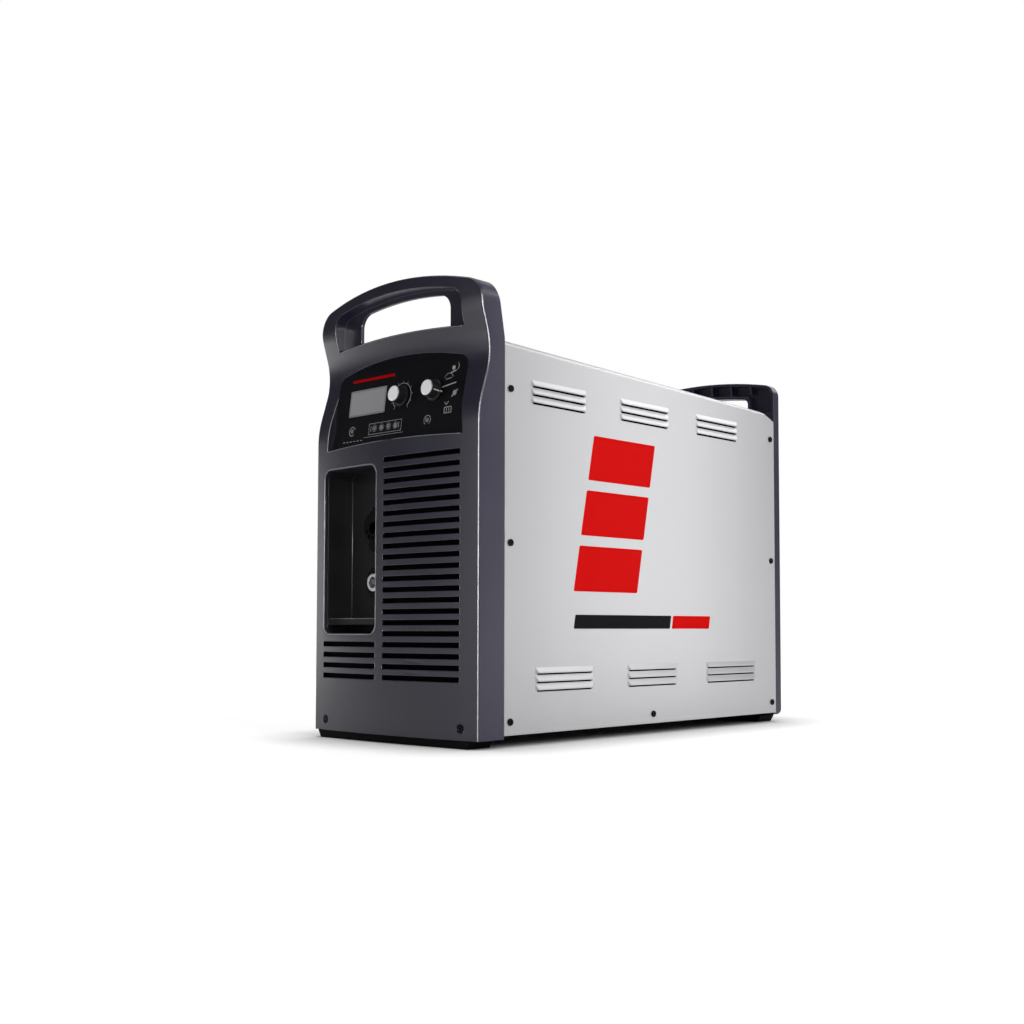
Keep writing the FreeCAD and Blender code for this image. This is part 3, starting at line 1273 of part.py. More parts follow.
def power_switch_body():
    y = nook_floor()
    half = SWITCH_PLATE / 2
    plate = rounded_box(NOOK_X - half, NOOK_X + half, y, y + SWITCH_PLATE_THICK, SWITCH_Z - half,
                        SWITCH_Z + half, 4, Y_AXIS)
    plate = rounded(plate, 1.2, lambda edge: abs(edge.CenterOfMass.y - y - SWITCH_PLATE_THICK) < 0.01)
    neck = rod(NOOK_X, y - WALL, SWITCH_Z, Y_AXIS, SWITCH_SHAFT_RADIUS + 3.9, WALL + 1)
    half = SWITCH_BODY / 2
    block = box(NOOK_X - half, NOOK_X + half, y - WALL - SWITCH_BODY_DEPTH, y - WALL, SWITCH_Z - half,
                SWITCH_Z + half)
    body = joined([plate, neck, block])
    return body.cut(rod(NOOK_X, y - WALL - 10, SWITCH_Z, Y_AXIS, SWITCH_SHAFT_RADIUS + RUN_CLEAR, 60))


def power_switch_knob():
    y = nook_floor() + SWITCH_PLATE_THICK + 0.5
    disc = rod(NOOK_X, y, SWITCH_Z, Y_AXIS, SWITCH_KNOB_RADIUS, SWITCH_KNOB_BASE)
    disc = rounded(disc, 1.5, lambda edge: edge.CenterOfMass.y > y + 1 and not along(edge, Y_AXIS))
    grip = rounded_box(NOOK_X - SWITCH_GRIP_WIDTH / 2, NOOK_X + SWITCH_GRIP_WIDTH / 2, y + 1,
                       y + SWITCH_KNOB_BASE + SWITCH_GRIP_HEIGHT, SWITCH_Z - SWITCH_KNOB_RADIUS + 1,
                       SWITCH_Z + SWITCH_KNOB_RADIUS + 3, 3, Y_AXIS)
    shaft = rod(NOOK_X, y - SWITCH_PLATE_THICK - 8, SWITCH_Z, Y_AXIS, SWITCH_SHAFT_RADIUS,
                SWITCH_PLATE_THICK + 9)
    return joined([disc, grip, shaft])


def cord_gland():
    y = nook_floor()
    hexed = hexagon(NOOK_X, y, GLAND_Z, GLAND_NUT_RADIUS, 5)
    barrel = rod(NOOK_X, y - 12, GLAND_Z, Y_AXIS, GLAND_BORE + 1.4, GLAND_BODY_LENGTH + 12)
    thread = rod(NOOK_X, y + 5, GLAND_Z, Y_AXIS, GLAND_RADIUS, GLAND_BODY_LENGTH - 5)
    body = joined([hexed, barrel, thread])
    return body.cut(rod(NOOK_X, y - 20, GLAND_Z, Y_AXIS, GLAND_BORE, 60))


def cord_gland_nut():
    y = nook_floor() + GLAND_BODY_LENGTH
    nut = hexagon(NOOK_X, y, GLAND_Z, GLAND_NUT_RADIUS, GLAND_NUT_LENGTH)
    nut = nut.common(Part.makeCone(GLAND_NUT_RADIUS + 3, GLAND_RADIUS + 1, GLAND_NUT_LENGTH,
                                   Vector(NOOK_X, y, GLAND_Z), Y_AXIS))
    return nut.cut(rod(NOOK_X, y - 1, GLAND_Z, Y_AXIS, GLAND_BORE, GLAND_NUT_LENGTH + 2))


def gas_inlet():
    y = nook_floor()
    hexed = hexagon(GAS_X, y, GAS_Z, GAS_HEX, 7)
    nipple = rod(GAS_X, y + 6, GAS_Z, Y_AXIS, GAS_THREAD_RADIUS, GAS_THREAD_LENGTH + 1)
    stem = rod(GAS_X, y - WALL - 8, GAS_Z, Y_AXIS, GAS_BORE + 1.8, WALL + 9)
    return joined([hexed, nipple, stem]).cut(rod(GAS_X, y - 30, GAS_Z, Y_AXIS, GAS_BORE, 70))


def filter_middle_y():
    return nook_floor() + FILTER_HEAD_SIZE / 2


def filter_head():
    half = FILTER_HEAD_SIZE / 2
    y = filter_middle_y()
    head = rounded_box(FILTER_X - half, FILTER_X + half, y - half, y + half, FILTER_Z - 12,
                       FILTER_Z - 12 + FILTER_HEAD_HEIGHT, 4, Z_AXIS)
    collar = rod(FILTER_X, y, FILTER_Z - 16, Z_AXIS, BOWL_RADIUS + 2, 5)
    outlet = rod(FILTER_X, y - half - WALL - 8, FILTER_Z, Y_AXIS, HOSE_RADIUS, WALL + 9)
    head = joined([head, collar, outlet])
    socket = rod(FILTER_X, y, FILTER_Z - 17, Z_AXIS, BOWL_RADIUS + FIT_CLEAR, 9)
    channel = rod(FILTER_X, y, FILTER_Z - 10, Z_AXIS, 3, 12)
    across = rod(FILTER_X, y - half - WALL - 9, FILTER_Z, Y_AXIS, 3, half + WALL + 9)
    return head.cut([socket, channel, across])


def filter_bowl():
    y = filter_middle_y()
    top = FILTER_Z - 8
    bowl = rod(FILTER_X, y, top - BOWL_LENGTH, Z_AXIS, BOWL_RADIUS, BOWL_LENGTH)
    bowl = rounded(bowl, 6, lambda edge: edge.CenterOfMass.z < top - BOWL_LENGTH + 0.1)
    inner = rod(FILTER_X, y, top - BOWL_LENGTH + BOWL_WALL + 2, Z_AXIS, BOWL_RADIUS - BOWL_WALL,
                BOWL_LENGTH)
    inner = rounded(inner, 4, lambda edge: edge.CenterOfMass.z < top - BOWL_LENGTH + 5)
    drain = rod(FILTER_X, y, top - BOWL_LENGTH - 7, Z_AXIS, 3.5, 8)
    return joined([bowl.cut(inner), drain])


def filter_element():
    y = filter_middle_y()
    top = FILTER_Z - 8
    tube = rod(FILTER_X, y, top - BOWL_LENGTH * 0.62, Z_AXIS, ELEMENT_RADIUS, BOWL_LENGTH * 0.62)
    return tube.cut(rod(FILTER_X, y, top - BOWL_LENGTH * 0.55, Z_AXIS, ELEMENT_RADIUS - 3, BOWL_LENGTH))


def data_port():
    y = nook_floor()
    wide, high = PORT_WIDTH / 2, PORT_HEIGHT / 2
    shell = rounded_box(NOOK_X - wide, NOOK_X + wide, y, y + PORT_DEPTH, PORT_Z - high, PORT_Z + high,
                        3, Y_AXIS)
    cavity = rounded_box(NOOK_X - wide + PORT_WALL, NOOK_X + wide - PORT_WALL, y + 3, y + PORT_DEPTH + 1,
                         PORT_Z - high + PORT_WALL, PORT_Z + high - PORT_WALL, 2, Y_AXIS)
    shell = shell.cut(cavity)
    tail = box(NOOK_X - wide + 3.2, NOOK_X + wide - 3.2, y - WALL - 5, y + 1, PORT_Z - high + 3.2,
               PORT_Z + high - 3.2)
    ears = []
    for side in (-1, 1):
        x = NOOK_X + side * (wide - 4)
        ears.append(box(x - 2, x + 2, y, hinge_y() + PORT_PIN_RADIUS + 0.5, PORT_Z + high - 1,
                        hinge_z() + PORT_PIN_RADIUS + 0.5))
    body = joined([shell, tail] + ears)
    axle = rod(NOOK_X - wide - 5, hinge_y(), hinge_z(), X_AXIS, PORT_PIN_RADIUS + RUN_CLEAR,
               PORT_WIDTH + 10)
    return body.cut(axle)


def hinge_y():
    return nook_floor() + PORT_DEPTH + 0.2


def hinge_z():
    return PORT_Z + PORT_HEIGHT / 2 + 2.4


def data_port_cap():
    """Flap with its own hinge pin; it turns up about the pin."""
    y = nook_floor() + PORT_DEPTH + SEAT_GAP
    wide, high = PORT_WIDTH / 2, PORT_HEIGHT / 2
    flap = box(NOOK_X - wide, NOOK_X + wide, y, y + PORT_CAP_THICK, PORT_Z - high - 1, PORT_Z + high - 1.6)
    flap = rounded(flap, 0.8, lambda edge: edge.CenterOfMass.y > y + PORT_CAP_THICK - 0.1)
    arm_half = wide - 7
    arm = box(NOOK_X - arm_half, NOOK_X + arm_half, y, y + PORT_CAP_THICK - 0.2, PORT_Z + high - 3,
              hinge_z())
    pin = rod(NOOK_X - wide + 2.2, hinge_y(), hinge_z(), X_AXIS, PORT_PIN_RADIUS, PORT_WIDTH - 4.4)
    return joined([flap, arm, pin])


def supply_terminals():
    """Terminal block for the supply lead, on the rear of the divider."""
    x1 = board_x() + 6
    y0 = from_front(BOARD_REAR - 60)
    return box(x1, DIVIDER_X, y0, y0 + 50, BOARD_TOP - 60, BOARD_TOP - 30)


def bent_tube(points, radius, bore, bend):
    """Tube along straight runs joined by tangent arcs."""
    edges = []
    start = points[0]
    for before, corner, after in zip(points, points[1:], points[2:]):
        one = (before - corner).normalize()
        two = (after - corner).normalize()
        half_turn = (math.pi - one.getAngle(two)) / 2
        cut = bend * math.tan(half_turn)
        enter = corner + one * cut
        leave = corner + two * cut
        middle_dir = (one + two).normalize()
        centre_distance = bend / math.cos(half_turn)
        mid = corner + middle_dir * (centre_distance - bend)
        edges.append(Part.LineSegment(start, enter).toShape())
        edges.append(Part.Arc(enter, mid, leave).toShape())
        start = leave
    edges.append(Part.LineSegment(start, points[-1]).toShape())
    path = Part.Wire(edges)
    normal = (points[1] - points[0]).normalize()
    ring = Part.Wire([Part.makeCircle(radius, points[0], normal)])
    tube = path.makePipeShell([ring], True, False)
    if bore:
        hole = path.makePipeShell([Part.Wire([Part.makeCircle(bore, points[0], normal)])], True, False)
        tube = tube.cut(hole)
    return tube


def valve_front():
    return from_front(VALVE_DEPTH)


def gas_valve():
    """Valve block on the pan, behind the connector bay."""
    y0 = valve_front()
    half = VALVE_SIZE / 2
    block = box(FILTER_X - half, FILTER_X + half, y0, y0 + 46, FLOOR, VALVE_Z + half)
    coil = rod(FILTER_X, y0 + 23, VALVE_Z + half - 1, Z_AXIS, 12, 36)
    return joined([block, coil])


def inlet_hose():
    """Hose from the filter's outlet down and forward to the valve."""
    back = filter_middle_y() - FILTER_HEAD_SIZE / 2 - WALL - 8
    turn_y = back - HOSE_BEND - 4
    points = [Vector(FILTER_X, back, FILTER_Z), Vector(FILTER_X, turn_y, FILTER_Z),
              Vector(FILTER_X - 40, turn_y, VALVE_Z - 6), Vector(FILTER_X, turn_y - 120, VALVE_Z - 6),
              Vector(FILTER_X, valve_front() + 46, VALVE_Z - 6)]
    return bent_tube(points, HOSE_RADIUS, 0, HOSE_BEND * 0.8)


def torch_hose():
    """Hose from the valve up to the back of the torch socket."""
    y0 = from_front(BAY_DEPTH + TORCH_STEM_LENGTH)
    front = valve_front()
    points = [Vector(FILTER_X, front, VALVE_Z), Vector(FILTER_X, front - HOSE_BEND - 5, VALVE_Z),
              Vector(SOCKET_X, front - HOSE_BEND - 5, TORCH_Z - 1), Vector(SOCKET_X, y0, TORCH_Z - 1)]
    return bent_tube(points, HOSE_RADIUS, 0, HOSE_BEND * 0.8)


PIECES = [
    front_panel, front_frame, rear_panel, rear_frame, rear_recess, cover, cover_screws,
    front_panel_screws, rear_panel_screws, front_foot, rear_foot, control_panel, display_window,
    display_module, control_board, current_knob, current_knob_cap, encoder_shaft, encoder_body,
    mode_knob, mode_knob_cap, mode_switch_shaft, mode_switch_body, indicator_lenses, connector_bay,
    torch_receptacle, torch_contacts, torch_release_button, release_spring, work_receptacle_body,
    work_receptacle_socket, base_pan, centre_panel, fan_frame, fan_impeller, fan_guard, fan_screws,
    heat_sink, power_board, power_modules, board_spacers, capacitors, transformer_core,
    transformer_windings, input_choke, output_choke, power_switch_body, power_switch_knob,
    cord_gland, cord_gland_nut, gas_inlet, filter_head, filter_bowl, filter_element, data_port,
    data_port_cap, supply_terminals, gas_valve, inlet_hose, torch_hose,
]


def main():
    os.makedirs("parts", exist_ok=True)
    for piece in PIECES:
        shape = piece()
        solids = shape.Solids
        print(piece.__name__, "solids", len(solids), "valid", shape.isValid(),
              "volume", round(shape.Volume))
        if len(solids) == 1:
            shape = solids[0]
        else:
            shape = Part.makeCompound(solids)
        shape.exportStep("parts/" + piece.__name__ + ".step")


main()
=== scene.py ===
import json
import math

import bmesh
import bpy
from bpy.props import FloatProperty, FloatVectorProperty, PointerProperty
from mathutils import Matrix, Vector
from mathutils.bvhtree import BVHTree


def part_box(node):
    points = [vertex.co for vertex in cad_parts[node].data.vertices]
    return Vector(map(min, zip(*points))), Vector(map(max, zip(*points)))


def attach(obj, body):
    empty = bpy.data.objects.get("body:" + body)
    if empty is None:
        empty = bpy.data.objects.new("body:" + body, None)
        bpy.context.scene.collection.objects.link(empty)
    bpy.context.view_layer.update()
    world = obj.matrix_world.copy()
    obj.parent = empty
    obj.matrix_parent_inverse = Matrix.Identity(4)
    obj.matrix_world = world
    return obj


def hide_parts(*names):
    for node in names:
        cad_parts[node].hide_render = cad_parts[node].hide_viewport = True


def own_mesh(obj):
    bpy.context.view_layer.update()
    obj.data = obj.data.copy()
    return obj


bl_info = {
    "name": "Plasma cutter unit",
    "version": (1, 0, 0),
    "blender": (4, 5, 0),
    "location": "3D View > Sidebar > Plasma cutter",
    "description": "Finishes, marks and studio for a floor standing plasma cutter power unit",
    "category": "Object",
}

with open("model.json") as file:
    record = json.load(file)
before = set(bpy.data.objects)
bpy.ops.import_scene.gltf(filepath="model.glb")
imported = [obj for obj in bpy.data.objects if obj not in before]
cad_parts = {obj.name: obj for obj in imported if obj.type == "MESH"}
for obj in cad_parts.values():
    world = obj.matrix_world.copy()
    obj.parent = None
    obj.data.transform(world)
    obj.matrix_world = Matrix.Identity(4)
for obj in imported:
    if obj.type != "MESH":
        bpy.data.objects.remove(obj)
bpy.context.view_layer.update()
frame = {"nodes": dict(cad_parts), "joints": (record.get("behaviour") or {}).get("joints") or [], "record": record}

MM = 0.001
HOUSING = "housing"
MERGE_DISTANCE = 2e-6
FLAT_ANGLE = math.radians(0.04)
CRISP_ANGLE = math.radians(28)
SHEET_CRISP_ANGLE = math.radians(9)
QUARTER = math.pi / 2
QUAD_SHAPE_ANGLE = math.radians(80)
MARK_SINK = 0.03 * MM
BAND_PARTS = 3
WHITE = (1, 1, 1, 1)
LEDGE_TOP = 20.5 * MM

# The camera that took the photograph, and the studio round the unit
CAMERA_PLACE = (1.10765, -1.24046, 0.12672)
CAMERA_YAW = 0.73193
CAMERA_PITCH = 0.05384
CAMERA_LENS = 45.66
CAMERA_SHIFT = (-0.0469, 0.0455)
STUDIO_MIDDLE = (0.0, 0.0, 0.25)
FLOOR_RADIUS = 14.0
SHADOW_REACH = 2.2
AIR_STRENGTH = 0.08

# Each lamp's name, place, width, height, watts, and whether it lights matt surfaces as well as gloss
LAMPS = (
    ("key_panel", (2.7, -0.2, 1.5), 1.6, 1.6, 28.0, True),
    ("hood_panel", (1.9, 0.7, 2.1), 1.0, 1.0, 8.0, True),
    ("cap_sheen", (-1.25, -1.27, 0.95), 0.7, 0.7, 1.5, False),
    ("crease_strip", (1.75, -1.75, 0.7), 0.14, 1.5, 140.0, False),
    ("front_sheen", (-0.75, -2.1, 0.3), 0.4, 1.2, 4.5, False),
    ("crease_foot", (1.75, -1.75, 0.13), 0.14, 0.24, 30.0, False),
    ("left_sheen", (-1.5, -0.75, 0.18), 0.4, 0.66, 2.0, False),
    ("left_panel", (-1.85, -0.5, 0.18), 0.5, 0.66, 4.4, True),
    ("top_panel", (-0.3, -0.4, 2.6), 2.0, 1.6, 20.0, True),
    ("glow_panel", (0.635, 0.57, 0.36), 0.3, 1.0, 2.6, False),
    ("rim_panel", (0.75, 1.5, 1.6), 0.8, 0.6, 6.0, False),
    ("high_rear_panel", (-0.3, 2.3, 2.0), 2.4, 1.4, 14.0, True),
    ("far_left_panel", (-2.4, 1.6, 1.2), 1.4, 1.4, 14.0, True),
)

# The plate's printed marks, in millimetres across from its middle and up from the floor
KNOB_SCALE = (6.0, 388.0)
# Lower left corner, upper right corner and stroke
PLATE_FRAMES = (
    ((-46.0, 348.8), (10.0, 361.4), 0.55),
    ((79.0, 360.2), (90.0, 366.6), 0.9),
)
# Centre, radius, stroke, then start and sweep in degrees, and steps
PLATE_ARCS = (
    (KNOB_SCALE, 15.2, 0.8, -50, 280, 40),
    *(((across, 355.5), 3.9, 0.4, 0, 360, 20) for across in (-36.0, -24.0, -12.0, 0.0)),
    ((-76.0, 355.5), 5.2, 1.0, 20, 290, 24),
    ((53.0, 355.5), 5.2, 0.8, -60, 300, 24),
    ((91.5, 411.0), 4.6, 0.7, -60, 110, 12),
    ((81.5, 397.4), 7.2, 0.6, 20, 140, 16),
)
# Centre and radius
PLATE_DISCS = (((88.0, 410.0), 2.6), ((93.0, 381.4), 3.0))
# Start, end and width
PLATE_STROKES = (
    ((-54.0, 346.2), (14.0, 346.2), 0.5),
    ((-42.5, 352.0), (-42.5, 358.6), 0.9),
    ((5.6, 352.0), (5.6, 358.6), 0.9),
    ((84.0, 404.8), (92.5, 406.6), 1.6),
    ((69.0, 389.6), (94.0, 393.0), 1.3),
    ((77.0, 398.0), (86.5, 399.2), 0.8),
    ((88.6, 377.6), (97.4, 384.8), 1.4),
    ((78.4, 372.6), (81.6, 369.4), 0.8),
    ((81.6, 369.4), (85.0, 373.0), 0.8),
    ((82.6, 361.4), (82.6, 365.4), 1.0),
    ((86.4, 361.4), (86.4, 365.4), 1.0),
)


# Sizes and colours that a user would change

def length(name, words, default):
    return FloatProperty(name=name, description=words, default=default, min=0.0, subtype="DISTANCE",
                         unit="LENGTH", precision=5)


def angle(name, words, degrees):
    return FloatProperty(name=name, description=words, default=math.radians(degrees), subtype="ANGLE",
                         unit="ROTATION")


def colour(name, words, rgb):
    return FloatVectorProperty(name=name, description=words, default=rgb, size=3, min=0.0, max=1.0,
                               subtype="COLOR")


class UnitSizes(bpy.types.PropertyGroup):
    moulding_edge: length("Moulding edge", "Rounding of the moulded panels' crisp edges", 1.2 * MM)
    sheet_edge: length("Sheet edge", "Rounding of sheet metal edges", 0.5 * MM)
    small_edge: length("Small edge", "Rounding of small fittings' edges", 0.3 * MM)
    plate_lean: angle("Plate lean", "How far the control plate leans back", 7.3)
    mark_height: length("Mark height", "Thickness of printed marks", 0.06 * MM)
    band_bottom: length("Band bottom", "Height of the red band's foot above the floor", 0.169)
    band_top: length("Band top", "Height of the red band's head above the floor", 0.350)
    band_width: length("Band width", "Width of the red band along the cover", 0.115)
    band_front: length("Band front", "Distance from the middle forward to the red band's foot", 0.137)
    band_lean: length("Band lean", "How far the band's head stands behind its foot", 0.036)
    band_gap: length("Band gap", "Bare stretch between the three parts of the red band", 0.012)
    line_height: length("Line height", "Height of the charcoal line's middle above the floor", 0.1345)
    line_width: length("Line width", "Thickness of the charcoal line", 0.016)
    line_length: length("Line length", "Length of the charcoal line with its red end", 0.262)


class UnitColours(bpy.types.PropertyGroup):
    charcoal: colour("Charcoal", "Moulded end panels", (0.0255, 0.0240, 0.0490))
    tub_black: colour("Tub black", "Connector bay and rear recess", (0.0200, 0.0195, 0.0225))
    silver: colour("Silver", "Sheet cover", (0.520, 0.520, 0.532))
    film_black: colour("Film black", "Control plate", (0.0072, 0.0072, 0.0112))
    screen_grey: colour("Screen grey", "Unlit screen", (0.720, 0.717, 0.745))
    accent_red: colour("Accent red", "Band and accent line", (0.980, 0.0035, 0.0035))
    ink_white: colour("Ink white", "Printed marks", (0.720, 0.720, 0.730))
    knob_black: colour("Knob black", "Knobs and black fittings", (0.010, 0.010, 0.011))
    cap_silver: colour("Cap silver", "Spun knob caps", (0.800, 0.800, 0.810))
    rubber: colour("Rubber", "Feet and hoses", (0.0034, 0.0034, 0.0040))
    # Painted shade: the inner sheet gets a near-black grey so the slots and louvres look dark inside.
    inner_shade: colour("Inner grey", "Painted inner sheet", (0.006, 0.006, 0.0066))
    floor_pale: colour("Floor", "Studio floor", (0.800, 0.800, 0.800))


# Shader maths

class Value:
    """A shader socket that takes part in sums and products."""

    def __init__(self, finish, socket):
        self.finish = finish
        self.socket = socket

    def _math(self, operation, first, second):
        return self.finish.node("ShaderNodeMath", {"operation": operation}, {0: first, 1: second})

    def __add__(self, other):
        return self._math("ADD", self, other)

    def __sub__(self, other):
        return self._math("SUBTRACT", self, other)

    def __rsub__(self, other):
        return self._math("SUBTRACT", other, self)

    def __mul__(self, other):
        return self._math("MULTIPLY", self, other)

    __radd__ = __add__
    __rmul__ = __mul__

    def above(self, limit):
        return self._math("GREATER_THAN", self, limit)

    def power(self, exponent):
        return self._math("POWER", self, exponent)

    def larger(self, other):
        return self._math("MAXIMUM", self, other)

    def sine(self):
        return self.finish.node("ShaderNodeMath", {"operation": "SINE"}, {0: self})


class Finish:
    """One material, or the world, while its nodes are being built."""

    def __init__(self, name, world=None):
        self.holder = world or bpy.data.materials.new(name)
        self.holder.use_nodes = True
        self.nodes = self.holder.node_tree.nodes
        self.links = self.holder.node_tree.links
        self.nodes.clear()

    def node(self, kind, settings=None, inputs=None, output=0):
        """Add one node: settings first, then the values or links of its sockets."""
        made = self.nodes.new(kind)
        for key, value in (settings or {}).items():
            if key == "stops":
                self.set_stops(made.color_ramp, value)
            else:
                setattr(made, key, value)
        for key, value in (inputs or {}).items():
            if isinstance(value, Value):
                self.links.new(value.socket, made.inputs[key])
            else:
                made.inputs[key].default_value = value
        return Value(self, made.outputs[output]) if made.outputs else None

    @staticmethod
    def set_stops(ramp, stops):
        while len(ramp.elements) < len(stops):
            ramp.elements.new(1.0)
        for element, (place, tone) in zip(ramp.elements, stops):
            element.position = place
            element.color = (tone, tone, tone, 1.0)

    def place(self, scale=(1, 1, 1), turn=(0, 0, 0), shift=(0, 0, 0)):
        """Object coordinates, stretched, turned and moved."""
        return self.node("ShaderNodeMapping", {}, {"Vector": self.coordinates(), "Location": shift,
                                                   "Rotation": turn, "Scale": scale})

    def coordinates(self):
        """Object coordinates as they are."""
        return self.node("ShaderNodeTexCoord", output="Object")

    def length(self, vector):
        return self.node("ShaderNodeVectorMath", {"operation": "LENGTH"}, {0: vector}, output="Value")

    def noise(self, where, scale, detail=2.0, roughness=0.5):
        return self.node("ShaderNodeTexNoise", {}, {"Vector": where, "Scale": scale, "Detail": detail,
                                                    "Roughness": roughness})

    def ramp(self, value, stops):
        return self.node("ShaderNodeValToRGB", {"stops": stops}, {0: value})

    def mix(self, share, first, second):
        """Mix of two colours by a share."""
        return self.node("ShaderNodeMix", {"data_type": "RGBA"}, {0: share, 6: first, 7: second},
                         output=2)

    def bump(self, height, distance, strength=1.0, under=None):
        inputs = {"Height": height, "Distance": distance, "Strength": strength}
        if under is not None:
            inputs["Normal"] = under
        return self.node("ShaderNodeBump", {}, inputs)

    def rounded(self, radius):
        """Normal that turns softly round crisp edges."""
        return self.node("ShaderNodeBevel", {"samples": 6}, {"Radius": radius})

    def edges(self, soft):
        """Mask that is one along crisp edges, from a softened normal."""
        plain = self.node("ShaderNodeNewGeometry", output="Normal")
        alike = self.node("ShaderNodeVectorMath", {"operation": "DOT_PRODUCT"}, {0: soft, 1: plain},
                          output="Value")
        return self.node("ShaderNodeMapRange", {"interpolation_type": "SMOOTHSTEP"},
                         {"Value": 1.0 - alike, "From Min": 0.01, "From Max": 0.12})

    def surface(self, **sockets):
        """Principled surface: keyword names are socket names with underscores for spaces."""
        named = {key.replace("_", " "): value for key, value in sockets.items()}
        shader = self.node("ShaderNodeBsdfPrincipled", {}, named)
        self.node("ShaderNodeOutputMaterial", {}, {"Surface": shader})
        return self.holder


def rgba(tone, factor=1.0):
    return tuple(min(1.0, channel * factor) for channel in tone) + (1.0,)


def varied(finish, tone, mask, spread):
    """Colour that drifts a little round a tone where the mask changes."""
    return finish.mix(mask, rgba(tone, 1.0 - spread), rgba(tone, 1.0 + spread))


def moulded_plastic(name, tone, roughness=0.42, grain=900.0, depth=0.00006, edge=0.0, shine=0.5):
    """Spark-textured moulding: fine grain, slow drift of tone and gloss, and with an edge radius a painted
    highlight along crisp edges.
    """
    finish = Finish(name)
    where = finish.place()
    drift = finish.noise(where, 14.0, 3.0)
    fine = finish.noise(where, grain, 2.0, 0.6)
    flow = finish.noise(where, 60.0, 2.0)
    base = varied(finish, tone, drift * 0.7 + fine * 0.3, 0.07)
    gloss = (drift - 0.5) * 0.10 + (fine - 0.5) * 0.06 + roughness
    soft = None
    if edge:
        soft = finish.rounded(edge)
        # Painted highlight: along crisp edges the colour is mixed towards six times its tone, and the gloss rises.
        edge_highlight = finish.edges(soft)
        base = finish.mix(edge_highlight * 0.5, base, rgba(tone, 6.0))
        gloss = gloss - edge_highlight * 0.10
    return finish.surface(
        Base_Color=base, Roughness=gloss, Specular_IOR_Level=shine,
        Normal=finish.bump(fine, depth, 0.35, finish.bump(flow, 0.00025, 0.12, soft)))


def silver_paint(name, tone, edge):
    """Satin silver sheet with a faint upright grain."""
    finish = Finish(name)
    grain = finish.noise(finish.place((900.0, 900.0, 9.0)), 1.0, 3.0, 0.6)
    bands = finish.noise(finish.place((16.0, 16.0, 0.5)), 1.0, 2.0, 0.5)
    fleck = finish.noise(finish.place(), 1600.0, 1.0)
    return finish.surface(
        Base_Color=varied(finish, tone, grain * 0.4 + bands * 0.45 + fleck * 0.15, 0.05),
        Metallic=0.55,
        Roughness=(grain - 0.5) * 0.12 + (fleck - 0.5) * 0.05 + 0.42,
        Normal=finish.bump(grain * 0.6 + fleck * 0.4, 0.00002, 0.25, finish.rounded(edge)),
        Coat_Weight=0.15, Coat_Roughness=0.25)


def printed_film(name, tone):
    """Near black polyester film: smooth, with a fine satin emboss."""
    finish = Finish(name)
    fine = finish.noise(finish.place(), 1500.0, 1.0)
    cloud = finish.noise(finish.place(), 25.0, 2.0)
    return finish.surface(
        Base_Color=varied(finish, tone, cloud, 0.12),
        Roughness=(cloud - 0.5) * 0.08 + (fine - 0.5) * 0.05 + 0.40, Specular_IOR_Level=0.12,
        Normal=finish.bump(fine, 0.00002, 0.3))


def flat_paint(name, tone, roughness=0.4):
    """Opaque printed paint or ink with a trace of mottling."""
    finish = Finish(name)
    mottle = finish.noise(finish.place(), 450.0, 2.0)
    cloud = finish.noise(finish.place(), 18.0, 2.0)
    return finish.surface(
        Base_Color=varied(finish, tone, mottle * 0.5 + cloud * 0.5, 0.05),
        Roughness=(mottle - 0.5) * 0.08 + roughness, Specular_IOR_Level=0.05, IOR=1.25,
        Normal=finish.bump(mottle, 0.00001, 0.3))


def plain_metal(name, tone, roughness, stretch=(1.0, 1.0, 1.0), grain=500.0):
    """Bare metal with grain drawn out along one direction."""
    finish = Finish(name)
    lines = finish.noise(finish.place(stretch), grain, 3.0, 0.6)
    cloud = finish.noise(finish.place(), 30.0, 3.0)
    return finish.surface(
        Base_Color=varied(finish, tone, lines * 0.5 + cloud * 0.5, 0.07),
        Metallic=1.0,
        Roughness=(lines - 0.5) * 0.16 + (cloud - 0.5) * 0.08 + roughness,
        Normal=finish.bump(lines, 0.00002, 0.3))


def spun_cap(name, tone, centre, axis):
    """Metal disc with turned rings round its axis."""
    finish = Finish(name)
    turn = axis.to_track_quat("Z", "Y").to_matrix().inverted()
    moved = turn @ centre
    local = finish.place((1, 1, 1), turn.to_euler("XYZ"), (-moved.x, -moved.y, -moved.z))
    flat = finish.node("ShaderNodeVectorMath", {"operation": "MULTIPLY"}, {0: local, 1: (1, 1, 0)})
    rings = finish.node("ShaderNodeTexNoise", {"noise_dimensions": "1D"},
                        {"W": finish.length(flat) * 2600.0, "Scale": 1.0, "Detail": 2.0})
    return finish.surface(
        Base_Color=varied(finish, tone, rings, 0.05),
        Metallic=0.9,
        Roughness=(rings - 0.5) * 0.12 + 0.34,
        Normal=finish.bump(rings, 0.00002, 0.4))


def soft_rubber(name, tone):
    """Matt black rubber with pores and a trace of pale bloom."""
    finish = Finish(name)
    pores = finish.noise(finish.place(), 700.0, 3.0, 0.7)
    dust = finish.noise(finish.place(), 35.0, 4.0)
    bloom = finish.ramp(dust, [(0.45, 0.0), (0.8, 1.0)])
    return finish.surface(
        Base_Color=finish.mix(bloom * 0.04, rgba(tone), rgba((0.06, 0.058, 0.055))),
        Roughness=(pores - 0.5) * 0.12 + 0.72, Specular_IOR_Level=0.08,
        Normal=finish.bump(pores, 0.00008, 0.4))


